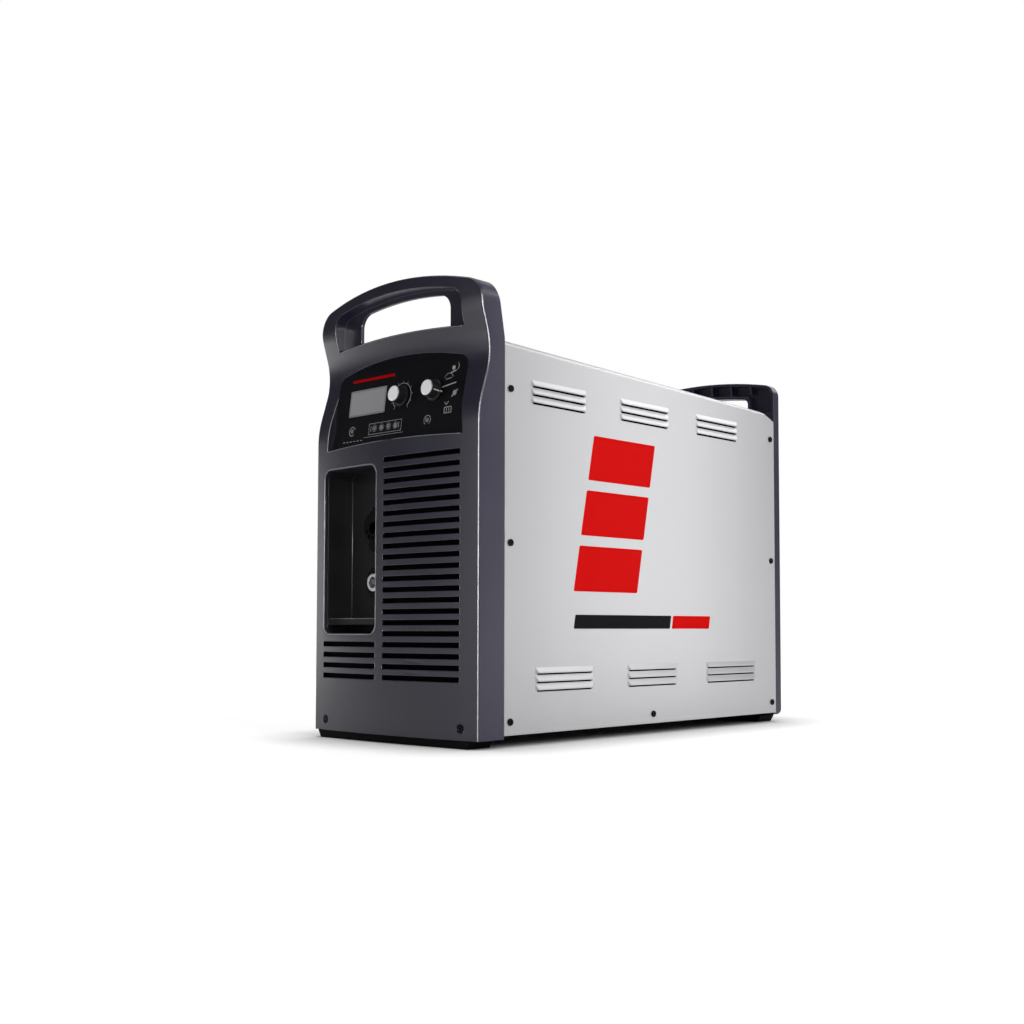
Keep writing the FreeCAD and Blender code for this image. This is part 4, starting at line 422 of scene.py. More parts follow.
def screen_face(name, tone, low, high):
    """Unlit liquid crystal behind a clear pane: dot rows and a darker border."""
    finish = Finish(name)
    x, z = (finish.node("ShaderNodeSeparateXYZ", {}, {0: finish.coordinates()}, output=axis) for axis in "XZ")
    border, dots_per_metre = 2.4 * MM, 9000.0
    inside = ((x - (low.x + border)).above(0.0) * (high.x - border - x).above(0.0)
              * (z - (low.z + border)).above(0.0) * (high.z - border - z).above(0.0))
    dots = (z * dots_per_metre).sine() * (x * dots_per_metre).sine() * 0.5 + 0.5
    fade = finish.noise(finish.place(), 20.0, 2.0)
    lit = varied(finish, tone, dots * 0.35 + fade * 0.65, 0.05)
    return finish.surface(
        Base_Color=finish.mix(inside, rgba(tone, 0.72), lit),
        Roughness=0.28 + fade * 0.04, Coat_Weight=1.0, Coat_Roughness=0.04)


def clear_plastic(name, tone, roughness=0.06):
    """Clear moulding with a faint haze."""
    finish = Finish(name)
    haze = finish.noise(finish.place(), 80.0, 3.0)
    return finish.surface(
        Base_Color=varied(finish, tone, haze, 0.02), Roughness=(haze - 0.5) * 0.04 + roughness,
        Transmission_Weight=0.9, IOR=1.49)


def wound_wire(name, tone):
    """Lacquered turns of wire lying side by side."""
    finish = Finish(name)
    turns = finish.node("ShaderNodeTexWave", {"bands_direction": "DIAGONAL"},
                        {"Vector": finish.place(), "Scale": 150.0, "Distortion": 0.6})
    return finish.surface(
        Base_Color=varied(finish, tone, turns, 0.35), Roughness=0.30 + turns * 0.15,
        Coat_Weight=0.5, Normal=finish.bump(turns, 0.0006, 0.8))


def circuit_mask(name, tone):
    """Green solder mask over raised tracks."""
    finish = Finish(name)
    tracks = finish.node("ShaderNodeTexBrick", {}, {"Vector": finish.place(turn=(QUARTER, 0, 0)),
                                                    "Scale": 90.0, "Mortar Size": 0.06}, output="Fac")
    speck = finish.noise(finish.place(), 300.0, 2.0)
    return finish.surface(
        Base_Color=finish.mix(tracks, rgba(tone), rgba(tone, 1.8)), Roughness=0.30 + speck * 0.12,
        Normal=finish.bump(tracks, 0.00004, 0.4))


def floor_finish(name, tone, reach):
    """Pale floor that keeps the shadow near the object and turns plain white further out."""
    finish = Finish(name)
    away = finish.node("ShaderNodeMapRange", {"interpolation_type": "SMOOTHSTEP"},
                       {"Value": finish.length(finish.coordinates()), "From Min": reach * 0.45,
                        "From Max": reach})
    camera, gloss, glass = (finish.node("ShaderNodeLightPath", output=f"Is {kind} Ray")
                            for kind in ("Camera", "Glossy", "Transmission"))
    seen = camera.larger(gloss.larger(glass))
    matt = finish.node("ShaderNodeBsdfDiffuse", {}, {"Color": rgba(tone)})
    open_air = finish.node("ShaderNodeAmbientOcclusion", {"samples": 12}, {"Distance": 0.10}, output="AO")
    lift = finish.node("ShaderNodeEmission", {}, {
        "Color": WHITE, "Strength": (camera * 0.12 + 0.46) * seen * open_air.power(2.2)})
    near = finish.node("ShaderNodeAddShader", {}, {0: matt, 1: lift})
    white = finish.node("ShaderNodeEmission", {}, {"Color": WHITE, "Strength": 1.0})
    mixed = finish.node("ShaderNodeMixShader", {}, {0: away * seen, 1: near, 2: white})
    finish.node("ShaderNodeOutputMaterial", {}, {"Surface": mixed})
    return finish.holder


FINISHES = {}


def finish_for(key):
    """Material by its short name, built the first time it is asked for."""
    if key not in FINISHES:
        tones = bpy.context.scene.unit_colours
        makers = {
            "charcoal": lambda: moulded_plastic("charcoal_moulding", tones.charcoal, 0.31,
                                                edge=sizes().moulding_edge),
            # Pale grey bead colour, far lighter than the charcoal: paints highlight lines along edges.
            "lip": lambda: moulded_plastic("pale_highlight_bead", (0.34, 0.34, 0.37), 0.26, 1200.0, 0.00002),
            "tub": lambda: moulded_plastic("tub_moulding", tones.tub_black, 0.42,
                                           edge=sizes().moulding_edge, shine=0.20),
            # Painted shade: near-black colour for the ledge's forward faces, darker than the rest of the tub.
            "ledge": lambda: moulded_plastic("ledge_front_shade", (0.004, 0.004, 0.0048), 0.5, shine=0.15),
            "silver": lambda: silver_paint("silver_sheet", tones.silver, sizes().sheet_edge),
            "film": lambda: printed_film("black_film", tones.film_black),
            "black": lambda: moulded_plastic("black_moulding", tones.knob_black, 0.38, 1200.0, 0.00004),
            "socket": lambda: moulded_plastic("socket_black", (0.0022, 0.0022, 0.0026), 0.34, 1200.0, 0.00004,
                                              shine=0.12),
            "oxide": lambda: plain_metal("black_oxide", tones.knob_black, 0.42),
            "rubber": lambda: soft_rubber("black_rubber", tones.rubber),
            # Near-black colour of painted shade, for the sheets behind the slots and louvres and for the slots'
            # ends.
            "shade_sheet": lambda: moulded_plastic("painted_shade_sheet", (0.0008, 0.0008, 0.0010), 0.8, 1500.0,
                                                   shine=0.02),
            "red": lambda: flat_paint("accent_red_print", tones.accent_red, 0.36),
            "pinstripe": lambda: flat_paint("charcoal_print", (0.012, 0.012, 0.014), 0.4),
            "ink": lambda: flat_paint("white_ink", tones.ink_white, 0.5),
            # Near-black colour of painted shade for the inner sheet parts.
            "inner": lambda: moulded_plastic("inner_sheet_shade", tones.inner_shade, 0.5, 700.0),
            "steel": lambda: plain_metal("bright_steel", (0.62, 0.62, 0.63), 0.28),
            "chrome": lambda: plain_metal("polished_ring", (0.90, 0.90, 0.91), 0.30, grain=900.0),
            "brass": lambda: plain_metal("turned_brass", (0.72, 0.50, 0.20), 0.26),
            "aluminium": lambda: plain_metal("drawn_aluminium", (0.70, 0.70, 0.72), 0.38, (1, 0.05, 1)),
            "circuit": lambda: circuit_mask("solder_mask", (0.012, 0.075, 0.030)),
            "ferrite": lambda: moulded_plastic("ferrite", (0.03, 0.03, 0.032), 0.6, 300.0, 0.0002),
            "winding": lambda: wound_wire("lacquered_wire", (0.36, 0.13, 0.035)),
            "sleeve": lambda: flat_paint("can_sleeve", (0.012, 0.020, 0.080), 0.3),
            "switch": lambda: moulded_plastic("red_moulding", (0.45, 0.015, 0.012), 0.32, 1200.0),
            "lens": lambda: clear_plastic("frosted_lens", (0.80, 0.80, 0.76), 0.35),
            "bowl": lambda: clear_plastic("clear_bowl", (0.90, 0.93, 0.95)),
            "sinter": lambda: moulded_plastic("sintered_element", (0.62, 0.61, 0.56), 0.8, 500.0, 0.0004),
            "blank": lambda: plain_metal("blank_plate", (0.66, 0.66, 0.67), 0.34, (0.03, 1, 1), 900.0),
        }
        FINISHES[key] = makers[key]()
    return FINISHES[key]


# Pieces

TREES = {}


def sizes():
    return bpy.context.scene.unit_sizes


def paint(node, key):
    """Give a CAD node a finish and leave its shape alone."""
    for slot in frame["nodes"][node].material_slots:
        slot.material = finish_for(key)


def added(name, data):
    """Put an object with its data into the scene."""
    made = bpy.data.objects.new(name, data)
    bpy.context.scene.collection.objects.link(made)
    return made


def meshed(name, bm):
    """Turn a bmesh into an object."""
    mesh = bpy.data.meshes.new(name)
    bm.to_mesh(mesh)
    bm.free()
    return added(name, mesh)


def piece(name, bm, key, body=HOUSING):
    """Turn a bmesh into an object with a finish that rides on a body."""
    made = meshed(name, bm)
    made.data.materials.append(finish_for(key))
    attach(made, body)
    return made


def soften_edges(bm, crisp):
    """Smooth faces, with edges sharper than the crisp angle kept crisp."""
    for face in bm.faces:
        face.smooth = True
    for edge in bm.edges:
        edge.smooth = len(edge.link_faces) == 2 and edge.calc_face_angle(0.0) < crisp


def merged(node, whole):
    """Copy of a CAD node whose loose triangles are joined into whole faces, or only into quads."""
    bm = bmesh.new()
    bm.from_mesh(frame["nodes"][node].data)
    bmesh.ops.remove_doubles(bm, verts=bm.verts[:], dist=MERGE_DISTANCE)
    if whole:
        bmesh.ops.dissolve_limit(bm, angle_limit=FLAT_ANGLE, verts=bm.verts[:], edges=bm.edges[:])
    else:
        bmesh.ops.join_triangles(bm, faces=bm.faces[:], angle_face_threshold=FLAT_ANGLE,
                                 angle_shape_threshold=QUAD_SHAPE_ANGLE)
    return bm


def body_of(node):
    """Name of the body that carries a CAD node."""
    for body, members in frame["record"]["behaviour"]["bodies"].items():
        if node in members:
            return body
    raise RuntimeError(f"no body holds {node}")


def pivot_of(name):
    """Place of a joint's axis."""
    return Vector(next(joint for joint in frame["joints"] if joint["name"] == name)["pos_m"])


def evenly(first, last, steps):
    """Values from first to last, evenly apart."""
    return [first + (last - first) * step / steps for step in range(steps + 1)]


def dress(node, key, edge=0.0, segments=2, crisp=CRISP_ANGLE, other=None):
    """Stand in for a CAD node with a rounded copy; other is a second finish and the test of its faces."""
    bm = merged(node, edge > 0)
    soften_edges(bm, crisp)
    if other:
        for face in bm.faces:
            face.material_index = int(other[1](face))
    made = piece(node + "_dressed", bm, key, body_of(node))
    if other:
        made.data.materials.append(finish_for(other[0]))
    if edge:
        rounding = made.modifiers.new("edge_rounding", "BEVEL")
        rounding.width = edge
        rounding.segments = segments
        rounding.limit_method = "ANGLE"
        rounding.angle_limit = CRISP_ANGLE
        rounding.use_clamp_overlap = False
    shading = made.modifiers.new("even_shading", "WEIGHTED_NORMAL")
    shading.keep_sharp = True
    shading.weight = 100
    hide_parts(node)
    return made


def light_only(lamp, *objects):
    """Let a lamp shine on the named objects and on nothing else."""
    linking = bpy.data.objects[lamp].light_linking
    if linking.receiver_collection is None:
        linking.receiver_collection = bpy.data.collections.new("lit_by_" + lamp)
    for item in objects:
        linking.receiver_collection.objects.link(item)


def hit_y(node, x, z, direction=1.0):
    """Y where a line along Y first meets a CAD node."""
    if node not in TREES:
        mesh = frame["nodes"][node].data
        TREES[node] = BVHTree.FromPolygons([vert.co for vert in mesh.vertices],
                                           [face.vertices for face in mesh.polygons])
    place, _, _, _ = TREES[node].ray_cast(Vector((x, -direction, z)), Vector((0, direction, 0)))
    if place is None:
        raise RuntimeError(f"nothing of {node} at x {x:.4f} z {z:.4f}")
    return place.y


class Marks:
    """Flat marks drawn in a plane of their own, then raised and put in place."""

    def __init__(self):
        self.bm = bmesh.new()

    def bar(self, start, end, width):
        """Straight stroke between two points."""
        one, two = Vector(start), Vector(end)
        run = two - one
        middle = (one + two) / 2
        place = (Matrix.Translation((middle.x, middle.y, 0))
                 @ Matrix.Rotation(math.atan2(run.y, run.x), 4, "Z")
                 @ Matrix.Diagonal((run.length, width, 1, 1)))
        bmesh.ops.create_grid(self.bm, x_segments=1, y_segments=1, size=0.5, matrix=place)

    def arc(self, centre, radius, width, start=0.0, sweep=360.0, steps=24):
        """Ring or part of a ring, angles in degrees from local X."""
        turn = Matrix.Rotation(math.radians(start), 3, "Z")
        middle = Vector((centre[0], centre[1], 0))
        ends = [self.bm.verts.new(middle + turn @ Vector((radius + side * width / 2, 0, 0)))
                for side in (-1, 1)]
        edge = self.bm.edges.new(ends)
        bmesh.ops.spin(self.bm, geom=ends + [edge], cent=middle, axis=(0, 0, 1),
                       angle=math.radians(sweep), steps=steps, use_merge=sweep >= 360.0)

    def disc(self, centre, radius):
        bmesh.ops.create_circle(self.bm, cap_ends=True, radius=radius, segments=20,
                                matrix=Matrix.Translation((centre[0], centre[1], 0)))

    def panel(self, low, high, corner, lean=0.0):
        """Rectangle with rounded corners whose top is moved sideways by lean."""
        middle = ((low[0] + high[0]) / 2, (low[1] + high[1]) / 2, 0)
        place = Matrix.Translation(middle) @ Matrix.Diagonal((high[0] - low[0], high[1] - low[1], 1, 1))
        made = bmesh.ops.create_grid(self.bm, x_segments=1, y_segments=1, size=0.5, matrix=place)
        for vert in made["verts"]:
            if vert.co.y > middle[1]:
                vert.co.x += lean
        bmesh.ops.bevel(self.bm, geom=made["verts"], offset=corner, offset_type="OFFSET", segments=6,
                        profile=0.5, affect="VERTICES", material=-1)

    def outline(self, low, high, width):
        """Thin rectangular frame."""
        for level in (low[1], high[1]):
            self.bar((low[0], level), (high[0], level), width)
        for across in (low[0], high[0]):
            self.bar((across, low[1]), (across, high[1]), width)

    def finish(self, name, key, slot, place, body=HOUSING):
        """Raise the marks by the mark height and put them in place."""
        bmesh.ops.remove_doubles(self.bm, verts=self.bm.verts[:], dist=MERGE_DISTANCE)
        bmesh.ops.recalc_face_normals(self.bm, faces=self.bm.faces[:])
        bmesh.ops.solidify(self.bm, geom=self.bm.faces[:], thickness=sizes().mark_height + MARK_SINK)
        lowest = min(vert.co.z for vert in self.bm.verts)
        bmesh.ops.translate(self.bm, vec=(0, 0, -MARK_SINK - lowest), verts=self.bm.verts[:])
        bmesh.ops.transform(self.bm, matrix=place, verts=self.bm.verts[:])
        bmesh.ops.recalc_face_normals(self.bm, faces=self.bm.faces[:])
        return piece(name, self.bm, key, body)


def plate_turn():
    """Turn of a flat mark onto the leaning control plate: local Y up along it, local Z out of it."""
    return Matrix.Rotation(QUARTER - sizes().plate_lean, 4, "X")


def plate_place():
    """Local X right, local Y up along the control plate from the floor's level, local Z out of it."""
    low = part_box("control_panel")[0]
    return Matrix.Translation((0, low.y - low.z * math.tan(sizes().plate_lean), 0)) @ plate_turn()


def side_place(side):
    """Local X towards the unit's rear, local Y up, local Z out of one side of the cover."""
    return Matrix(((0, 0, side, side * half_width()), (1, 0, 0, 0), (0, 1, 0, 0), (0, 0, 0, 1)))


def rear_place(x, y, z):
    """Local X towards the unit's left, local Y up, local Z out of the rear."""
    return Matrix(((-1, 0, 0, x), (0, 0, 1, y), (0, 1, 0, z), (0, 0, 0, 1)))


def half_width():
    """Half the width of the end panels and of the cover's flat sides."""
    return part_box("front_panel")[1].x


def tube_along(points, radius, cyclic, name, key, resolution=3):
    """Round bead along a line of points, as a mesh."""
    curve = bpy.data.curves.new(name + "_line", "CURVE")
    curve.dimensions = "3D"
    curve.bevel_depth = radius
    curve.bevel_resolution = resolution
    curve.use_fill_caps = not cyclic
    spline = curve.splines.new("POLY")
    spline.points.add(len(points) - 1)
    for point, place in zip(spline.points, points):
        point.co = (*place, 1.0)
    spline.use_cyclic_u = cyclic
    holder = added(name + "_line", curve)
    bpy.context.view_layer.update()
    bm = bmesh.new()
    bm.from_mesh(holder.to_mesh())
    bpy.data.objects.remove(holder)
    bpy.data.curves.remove(curve)
    bmesh.ops.remove_doubles(bm, verts=bm.verts[:], dist=MERGE_DISTANCE)
    bmesh.ops.recalc_face_normals(bm, faces=bm.faces[:])
    for face in bm.faces:
        face.smooth = True
    return piece(name, bm, key)


def lit_bead(points, radius, name, cyclic=False):
    """Bead in a pale grey that paints a highlight line, lit only by the narrow lamp beside the crease."""
    light_only("crease_strip", tube_along(points, radius, cyclic, name, "lip"))


def on_skin(x, z, depth, radius=0.0):
    """Point below the front panel's skin, no nearer to the unit's front plane than a radius."""
    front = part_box("front_panel")[0].y
    return Vector((x, max(hit_y("front_panel", x, z) + depth, front + radius), z))


def rounded_loop(low, high, corner, steps):
    """Points round a rectangle with rounded corners, in its own plane."""
    points = []
    for index, (x, y) in enumerate(((high[0] - corner, high[1] - corner), (low[0] + corner, high[1] - corner),
                                    (low[0] + corner, low[1] + corner), (high[0] - corner, low[1] + corner))):
        for step in range(steps + 1):
            turn = QUARTER * (index + step / steps)
            points.append((x + corner * math.cos(turn), y + corner * math.sin(turn)))
    return points


# Operators

class UNIT_OT_stage(bpy.types.Operator):
    """Add the floor, the soft lamps, the pale surroundings and the camera"""
    bl_idname = "unit.stage"
    bl_label = "Stage"

    def execute(self, context):
        self.floor(context.scene.unit_colours.floor_pale)
        self.surroundings(context.scene)
        for lamp in LAMPS:
            self.lamp(*lamp)
        self.camera(context.scene)
        context.scene.view_settings.view_transform = "Standard"
        return {"FINISHED"}

    @staticmethod
    def floor(tone):
        """Wide round floor."""
        bm = bmesh.new()
        bmesh.ops.create_circle(bm, cap_ends=True, radius=FLOOR_RADIUS, segments=96)
        made = meshed("studio_floor", bm)
        made.data.materials.append(floor_finish("floor_pale", tone, SHADOW_REACH))

    @staticmethod
    def surroundings(scene):
        """Faint light from all round, and plain white where the camera sees past the floor."""
        scene.world = bpy.data.worlds.new("studio_air")
        air = Finish("studio_air", scene.world)
        camera, glass = (air.node("ShaderNodeLightPath", output=f"Is {kind} Ray")
                         for kind in ("Camera", "Transmission"))
        fill = air.node("ShaderNodeBackground", {}, {"Color": WHITE, "Strength": AIR_STRENGTH})
        white = air.node("ShaderNodeBackground", {}, {"Color": WHITE, "Strength": 1.0})
        mixed = air.node("ShaderNodeMixShader", {}, {0: camera.larger(glass), 1: fill, 2: white})
        air.node("ShaderNodeOutputWorld", {}, {"Surface": mixed})

    @staticmethod
    def lamp(name, place, wide, high, watts, spreads):
        """Soft lamp aimed at the unit's middle; one that doesn't spread only makes gloss."""
        lamp = bpy.data.lights.new(name, "AREA")
        lamp.shape = "RECTANGLE"
        lamp.size = wide
        lamp.size_y = high
        lamp.energy = watts
        made = added(name, lamp)
        aim = (Vector(STUDIO_MIDDLE) - Vector(place)).to_track_quat("-Z", "Y")
        made.matrix_world = Matrix.Translation(place) @ aim.to_matrix().to_4x4()
        made.visible_camera = False
        made.visible_diffuse = spreads

    @staticmethod
    def camera(scene):
        """Camera that stands and looks as the photograph's did."""
        camera = bpy.data.cameras.new("photo_camera")
        camera.sensor_width = 36.0
        camera.lens = CAMERA_LENS
        camera.shift_x, camera.shift_y = CAMERA_SHIFT
        camera.clip_end = 100.0
        made = added("photo_camera", camera)
        level = math.cos(CAMERA_PITCH)
        look = Vector((-math.sin(CAMERA_YAW) * level, math.cos(CAMERA_YAW) * level, math.sin(CAMERA_PITCH)))
        made.matrix_world = (Matrix.Translation(CAMERA_PLACE)
                             @ look.to_track_quat("-Z", "Y").to_matrix().to_4x4())
        scene.camera = made


class UNIT_OT_mouldings(bpy.types.Operator):
    """Round and finish the moulded end panels and their tubs"""
    bl_idname = "unit.mouldings"
    bl_label = "Mouldings"

    def execute(self, context):
        low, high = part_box("connector_bay")
        left_ends = (low.x + 3.0 * MM, high.x + 10.0 * MM)
        reach, largest, facing = 0.4 * MM, 60 * MM * MM, 0.9
        ledge_reach, ledge_rise = 30 * MM, 19.5 * MM

        def slot_end_in_shade(face):
            """True for the small faces at the front slots' left ends, which get the near-black colour of painted
            shade so they look as dark as the slots.
            """
            centre = face.calc_center_median()
            nearest = min(left_ends, key=lambda end: abs(centre.x - end))
            return (face.normal.x > facing and abs(centre.x - nearest) < reach
                    and face.calc_area() < largest and (nearest == left_ends[1] or centre.z < low.z))

        def ledge_front_in_shade(face):
            """True for the faces of the bay's ledge that look forward, which get a near-black colour of painted
            shade.
            """
            centre = face.calc_center_median()
            return (face.normal.y < -facing and centre.y < low.y + ledge_reach
                    and centre.z < low.z + ledge_rise)

        front = dress("front_panel", "charcoal", other=("shade_sheet", slot_end_in_shade))
        dress("rear_panel", "charcoal")
        dress("rear_recess", "tub")
        tub = dress("connector_bay", "tub", other=("ledge", ledge_front_in_shade))
        light_only("crease_strip", front, tub)
        light_only("crease_foot", front)
        return {"FINISHED"}


class UNIT_OT_bay_lip(bpy.types.Operator):
    """Add the pale bead of painted highlight and the black line of painted groove shade round the bay's mouth, the
    other painted highlight lines, and the black sheets of painted shade behind the slots
    """
    bl_idname = "unit.bay_lip"
    bl_label = "Bay lip"

    def execute(self, context):
        low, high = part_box("connector_bay")
        collar, corner, bead, groove = 3.0 * MM, 11.0 * MM, 0.9 * MM, 0.5 * MM
        mouth_low = (low.x + collar, low.z + collar)
        mouth_high = (high.x - collar, high.z - collar)

        def ring(out, depth, radius, steps=9, spacing=6.0 * MM):
            """Points round the mouth, moved out, on the panel's bowed skin."""
            loop = [Vector(place) for place in
                    rounded_loop((mouth_low[0] - out, mouth_low[1] - out),
                                 (mouth_high[0] + out, mouth_high[1] + out), corner + out, steps)]
            points = []
            for near, far in zip(loop, loop[1:] + loop[:1]):
                parts = max(1, round((far - near).length / spacing))
                points += [on_skin(*near.lerp(far, index / parts), depth, radius) for index in range(parts)]
            return points

        # Pale bead round the mouth paints the rim's highlight.
        lit_bead(ring(bead, 0.1 * MM, bead), bead, "bay_lip_bead", True)
        # Black tube outside the bead paints the shade of a groove round the bay's mouth.
        tube_along(ring(2 * (bead + groove), 0.3 * MM, groove), groove, True, "bay_groove_line", "black")
        self.inner_beads(low, high, mouth_low[0], mouth_high[0], mouth_high[1] - corner)
        self.edge_beads()
        self.slot_shade_sheets(low)
        return {"FINISHED"}

    @staticmethod
    def inner_beads(low, high, left, right, head):
        """Pale beads that paint highlight lines up the bay's far left corner and along the ledge's upper front
        edge.
        """
        x, y = left + 0.2 * MM, high.y - 2.5 * MM
        lit_bead([(x, y, low.z + LEDGE_TOP), (x, y, head)], 0.6 * MM, "bay_corner_bead")
        bead, inset, drop = 0.5 * MM, 2.0 * MM, 1.5 * MM
        y = hit_y("connector_bay", (left + right) / 2, low.z + LEDGE_TOP - drop) + bead / 2
        z = low.z + LEDGE_TOP - bead / 2
        lit_bead([(left + inset, y, z), (right - inset, y, z)], bead, "ledge_bead")

    @staticmethod
    def edge_beads():
        """Pale beads that paint highlight lines along the grip's lower edge and round the control recess's lower
        left.
        """
        bead, sunk, out, corner = 0.45 * MM, 0.2 * MM, 0.8 * MM, 3.0 * MM
        recess_arc, recess_rise, recess_taper = 1.860, 62.0 * MM, 8.0 / 86.6
        turn_in, turn_up = 0.8 * MM, 0.9 * MM
        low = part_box("control_panel")[0]
        half, foot = out - low.x, low.z - out
        crown = foot + half ** 2 / (2 * recess_arc)
        run = half - corner
        recess = [(x, crown - x ** 2 / (2 * recess_arc)) for x in evenly(run, -run, 24)]
        recess.append((turn_in - half, foot + turn_up))
        recess += [(recess_taper * climb - half, foot + climb)
                   for climb in evenly(corner, corner + recess_rise, 8)]
        grip_arc, grip_drop, grip_end = 1.395, 60.5 * MM, 34 * MM
        run = half_width() - grip_end
        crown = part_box("front_panel")[1].z - grip_drop - out
        grip = [(x, crown - x ** 2 / (2 * grip_arc)) for x in evenly(-run, run, 20)]
        for name, places in (("recess_edge_bead", recess), ("grip_edge_bead", grip)):
            lit_bead([on_skin(x, z, sunk, bead) for x, z in places], bead, name)

    @staticmethod
    def slot_shade_sheets(low):
        """Black sheets of painted shade on the inside of the front panel, behind its two groups of slots.

        Each group has its left and right end, and the first and last slot counted from the top.
        """
        pitch, top, wall, thick, columns = 12.16 * MM, 0.3157, 3.9 * MM, 0.4 * MM, 12
        below_bay, beside_bay = (low.x, -0.020, 17, 21), (-0.014, 0.118, 0, 21)
        bm = bmesh.new()
        for left, right, first, last in (below_bay, beside_bay):
            head, foot = top + (0.5 - first) * pitch, top + (0.5 - last) * pitch
            place = (Matrix.Translation(((left + right) / 2, 0, (head + foot) / 2))
                     @ Matrix.Rotation(QUARTER, 4, "X")
                     @ Matrix.Diagonal((right - left, head - foot, 1, 1)))
            grid = bmesh.ops.create_grid(bm, x_segments=columns, y_segments=last - first, size=0.5,
                                         matrix=place)
            for vert in grid["verts"]:
                vert.co = on_skin(vert.co.x, vert.co.z, wall)
        bmesh.ops.recalc_face_normals(bm, faces=bm.faces[:])
        bmesh.ops.solidify(bm, geom=bm.faces[:], thickness=thick)
        bmesh.ops.recalc_face_normals(bm, faces=bm.faces[:])
        piece("front_dust_screens", bm, "shade_sheet")


class UNIT_OT_cover(bpy.types.Operator):
    """Round and finish the sheet cover and its screws"""
    bl_idname = "unit.cover"
    bl_label = "Cover"

    def execute(self, context):
        dress("cover", "silver", crisp=SHEET_CRISP_ANGLE)
        self.louvre_screens()
        for node in ("cover_screws", "front_panel_screws", "rear_panel_screws"):
            dress(node, "oxide", 0.12 * MM)
        return {"FINISHED"}

    @staticmethod
    def louvre_screens():
        """Dark sheets of painted shade on the inside of the cover, behind each row of louvres."""
        low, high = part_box("cover")
        inset, thick, bare_ends, edge = 2.6 * MM, 0.8 * MM, 0.07, 0.2 * MM
        rows = ((0.060, 0.112), (0.355, 0.398))
        bm = bmesh.new()
        for side in (-1, 1):
            for foot, head in rows:
                spot = (Matrix.Translation((side * (half_width() - inset), (low.y + high.y) / 2,
                                            (foot + head) / 2))
                        @ Matrix.Diagonal((thick, high.y - low.y - bare_ends, head - foot, 1)))
                bmesh.ops.create_cube(bm, size=1.0, matrix=spot)
        bmesh.ops.bevel(bm, geom=bm.edges[:], offset=edge, offset_type="OFFSET", segments=2, profile=0.5,
                        affect="EDGES", material=-1)
        piece("louvre_screens", bm, "shade_sheet")


class UNIT_OT_side_bands(bpy.types.Operator):
    """Print the leaning red band and the charcoal line on both sides of the cover"""
    bl_idname = "unit.side_bands"
    bl_label = "Side bands"

    def execute(self, context):
        size = sizes()
        band_corner, line_corner, line_lean, join, red_share = 2.0 * MM, 1.5 * MM, 3 * MM, 4 * MM, 0.3
        foot = -size.band_front
        tall = (size.band_top - size.band_bottom - (BAND_PARTS - 1) * size.band_gap) / BAND_PARTS
        slope = size.band_lean / (size.band_top - size.band_bottom)
        low = size.line_height - size.line_width / 2
        high = size.line_height + size.line_width / 2
        end = foot + size.line_length
        split = end - size.line_length * red_share
        for side, word in ((-1, "left"), (1, "right")):
            place = side_place(side)
            band = Marks()
            for index in range(BAND_PARTS):
                rise = index * (tall + size.band_gap)
                near, bottom = foot + rise * slope, size.band_bottom + rise
                band.panel((near, bottom), (near + size.band_width, bottom + tall), band_corner, tall * slope)
            band.finish(f"red_band_{word}", "red", "silver_sheet", place)
            for name, key, start, stop in (("charcoal_line", "pinstripe", foot, split - join),
                                           ("red_line_end", "red", split, end)):
                line = Marks()
                line.panel((start, low), (stop, high), line_corner, line_lean)
                line.finish(f"{name}_{word}", key, "silver_sheet", place)
        return {"FINISHED"}


class UNIT_OT_control_plate(bpy.types.Operator):
    """Finish the control plate, its screen, its lamps and its printed marks"""
    bl_idname = "unit.control_plate"
    bl_label = "Control plate"

    def execute(self, context):
        dress("control_panel", "film", 0.25 * MM)
        low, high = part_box("display_window")
        FINISHES["screen"] = screen_face("screen_face", context.scene.unit_colours.screen_grey, low, high)
        dress("display_window", "screen", 0.15 * MM)
        paint("display_module", "black")
        dress("indicator_lenses", "lens")
        self.marks()
        return {"FINISHED"}

    @staticmethod
    def marks():
        """Pale pictograms, scales and frames, all of a generic kind."""
        base = plate_place()
        lean = math.cos(sizes().plate_lean)

        def at(place):
            """Plate coordinates in metres of a place given in millimetres across and up."""
            return (place[0] * MM, place[1] * MM / lean)

        ink = Marks()
        middle = Vector(at(KNOB_SCALE))
        tick_start, tick_end, tick_width = 16.4 * MM, 18.2 * MM, 0.5 * MM
        for degrees in range(-50, 231, 28):
            heading = Vector((math.cos(math.radians(degrees)), math.sin(math.radians(degrees))))
            ink.bar(middle + heading * tick_start, middle + heading * tick_end, tick_width)
        for low, high, stroke in PLATE_FRAMES:
            ink.outline(at(low), at(high), stroke * MM)
        for centre, radius, stroke, start, sweep, steps in PLATE_ARCS:
            ink.arc(at(centre), radius * MM, stroke * MM, start, sweep, steps)
        for centre, radius in PLATE_DISCS:
            ink.disc(at(centre), radius * MM)
        for start, end, width in PLATE_STROKES:
            ink.bar(at(start), at(end), width * MM)
        dash_left, dash_height, dash_run, dash_pitch, dash_width = -91.0, 343.4, 3.8, 6.2, 0.8
        for index in range(6):
            left = dash_left + dash_pitch * index
            ink.bar(at((left, dash_height)), at((left + dash_run, dash_height)), dash_width * MM)
        ink.finish("plate_marks", "ink", "near_black_plate", base)

        accent = Marks()
        accent.panel(at((-84.0, 413.6)), at((-10.0, 416.8)), 1.2 * MM)
        accent.finish("plate_accent_line", "red", "near_black_plate", base)

        rim = Marks()
        rim.outline(at((-87.4, 371.4)), at((-20.6, 405.6)), 0.7 * MM)
        rim.finish("screen_border_line", "pinstripe", "near_black_plate", base)


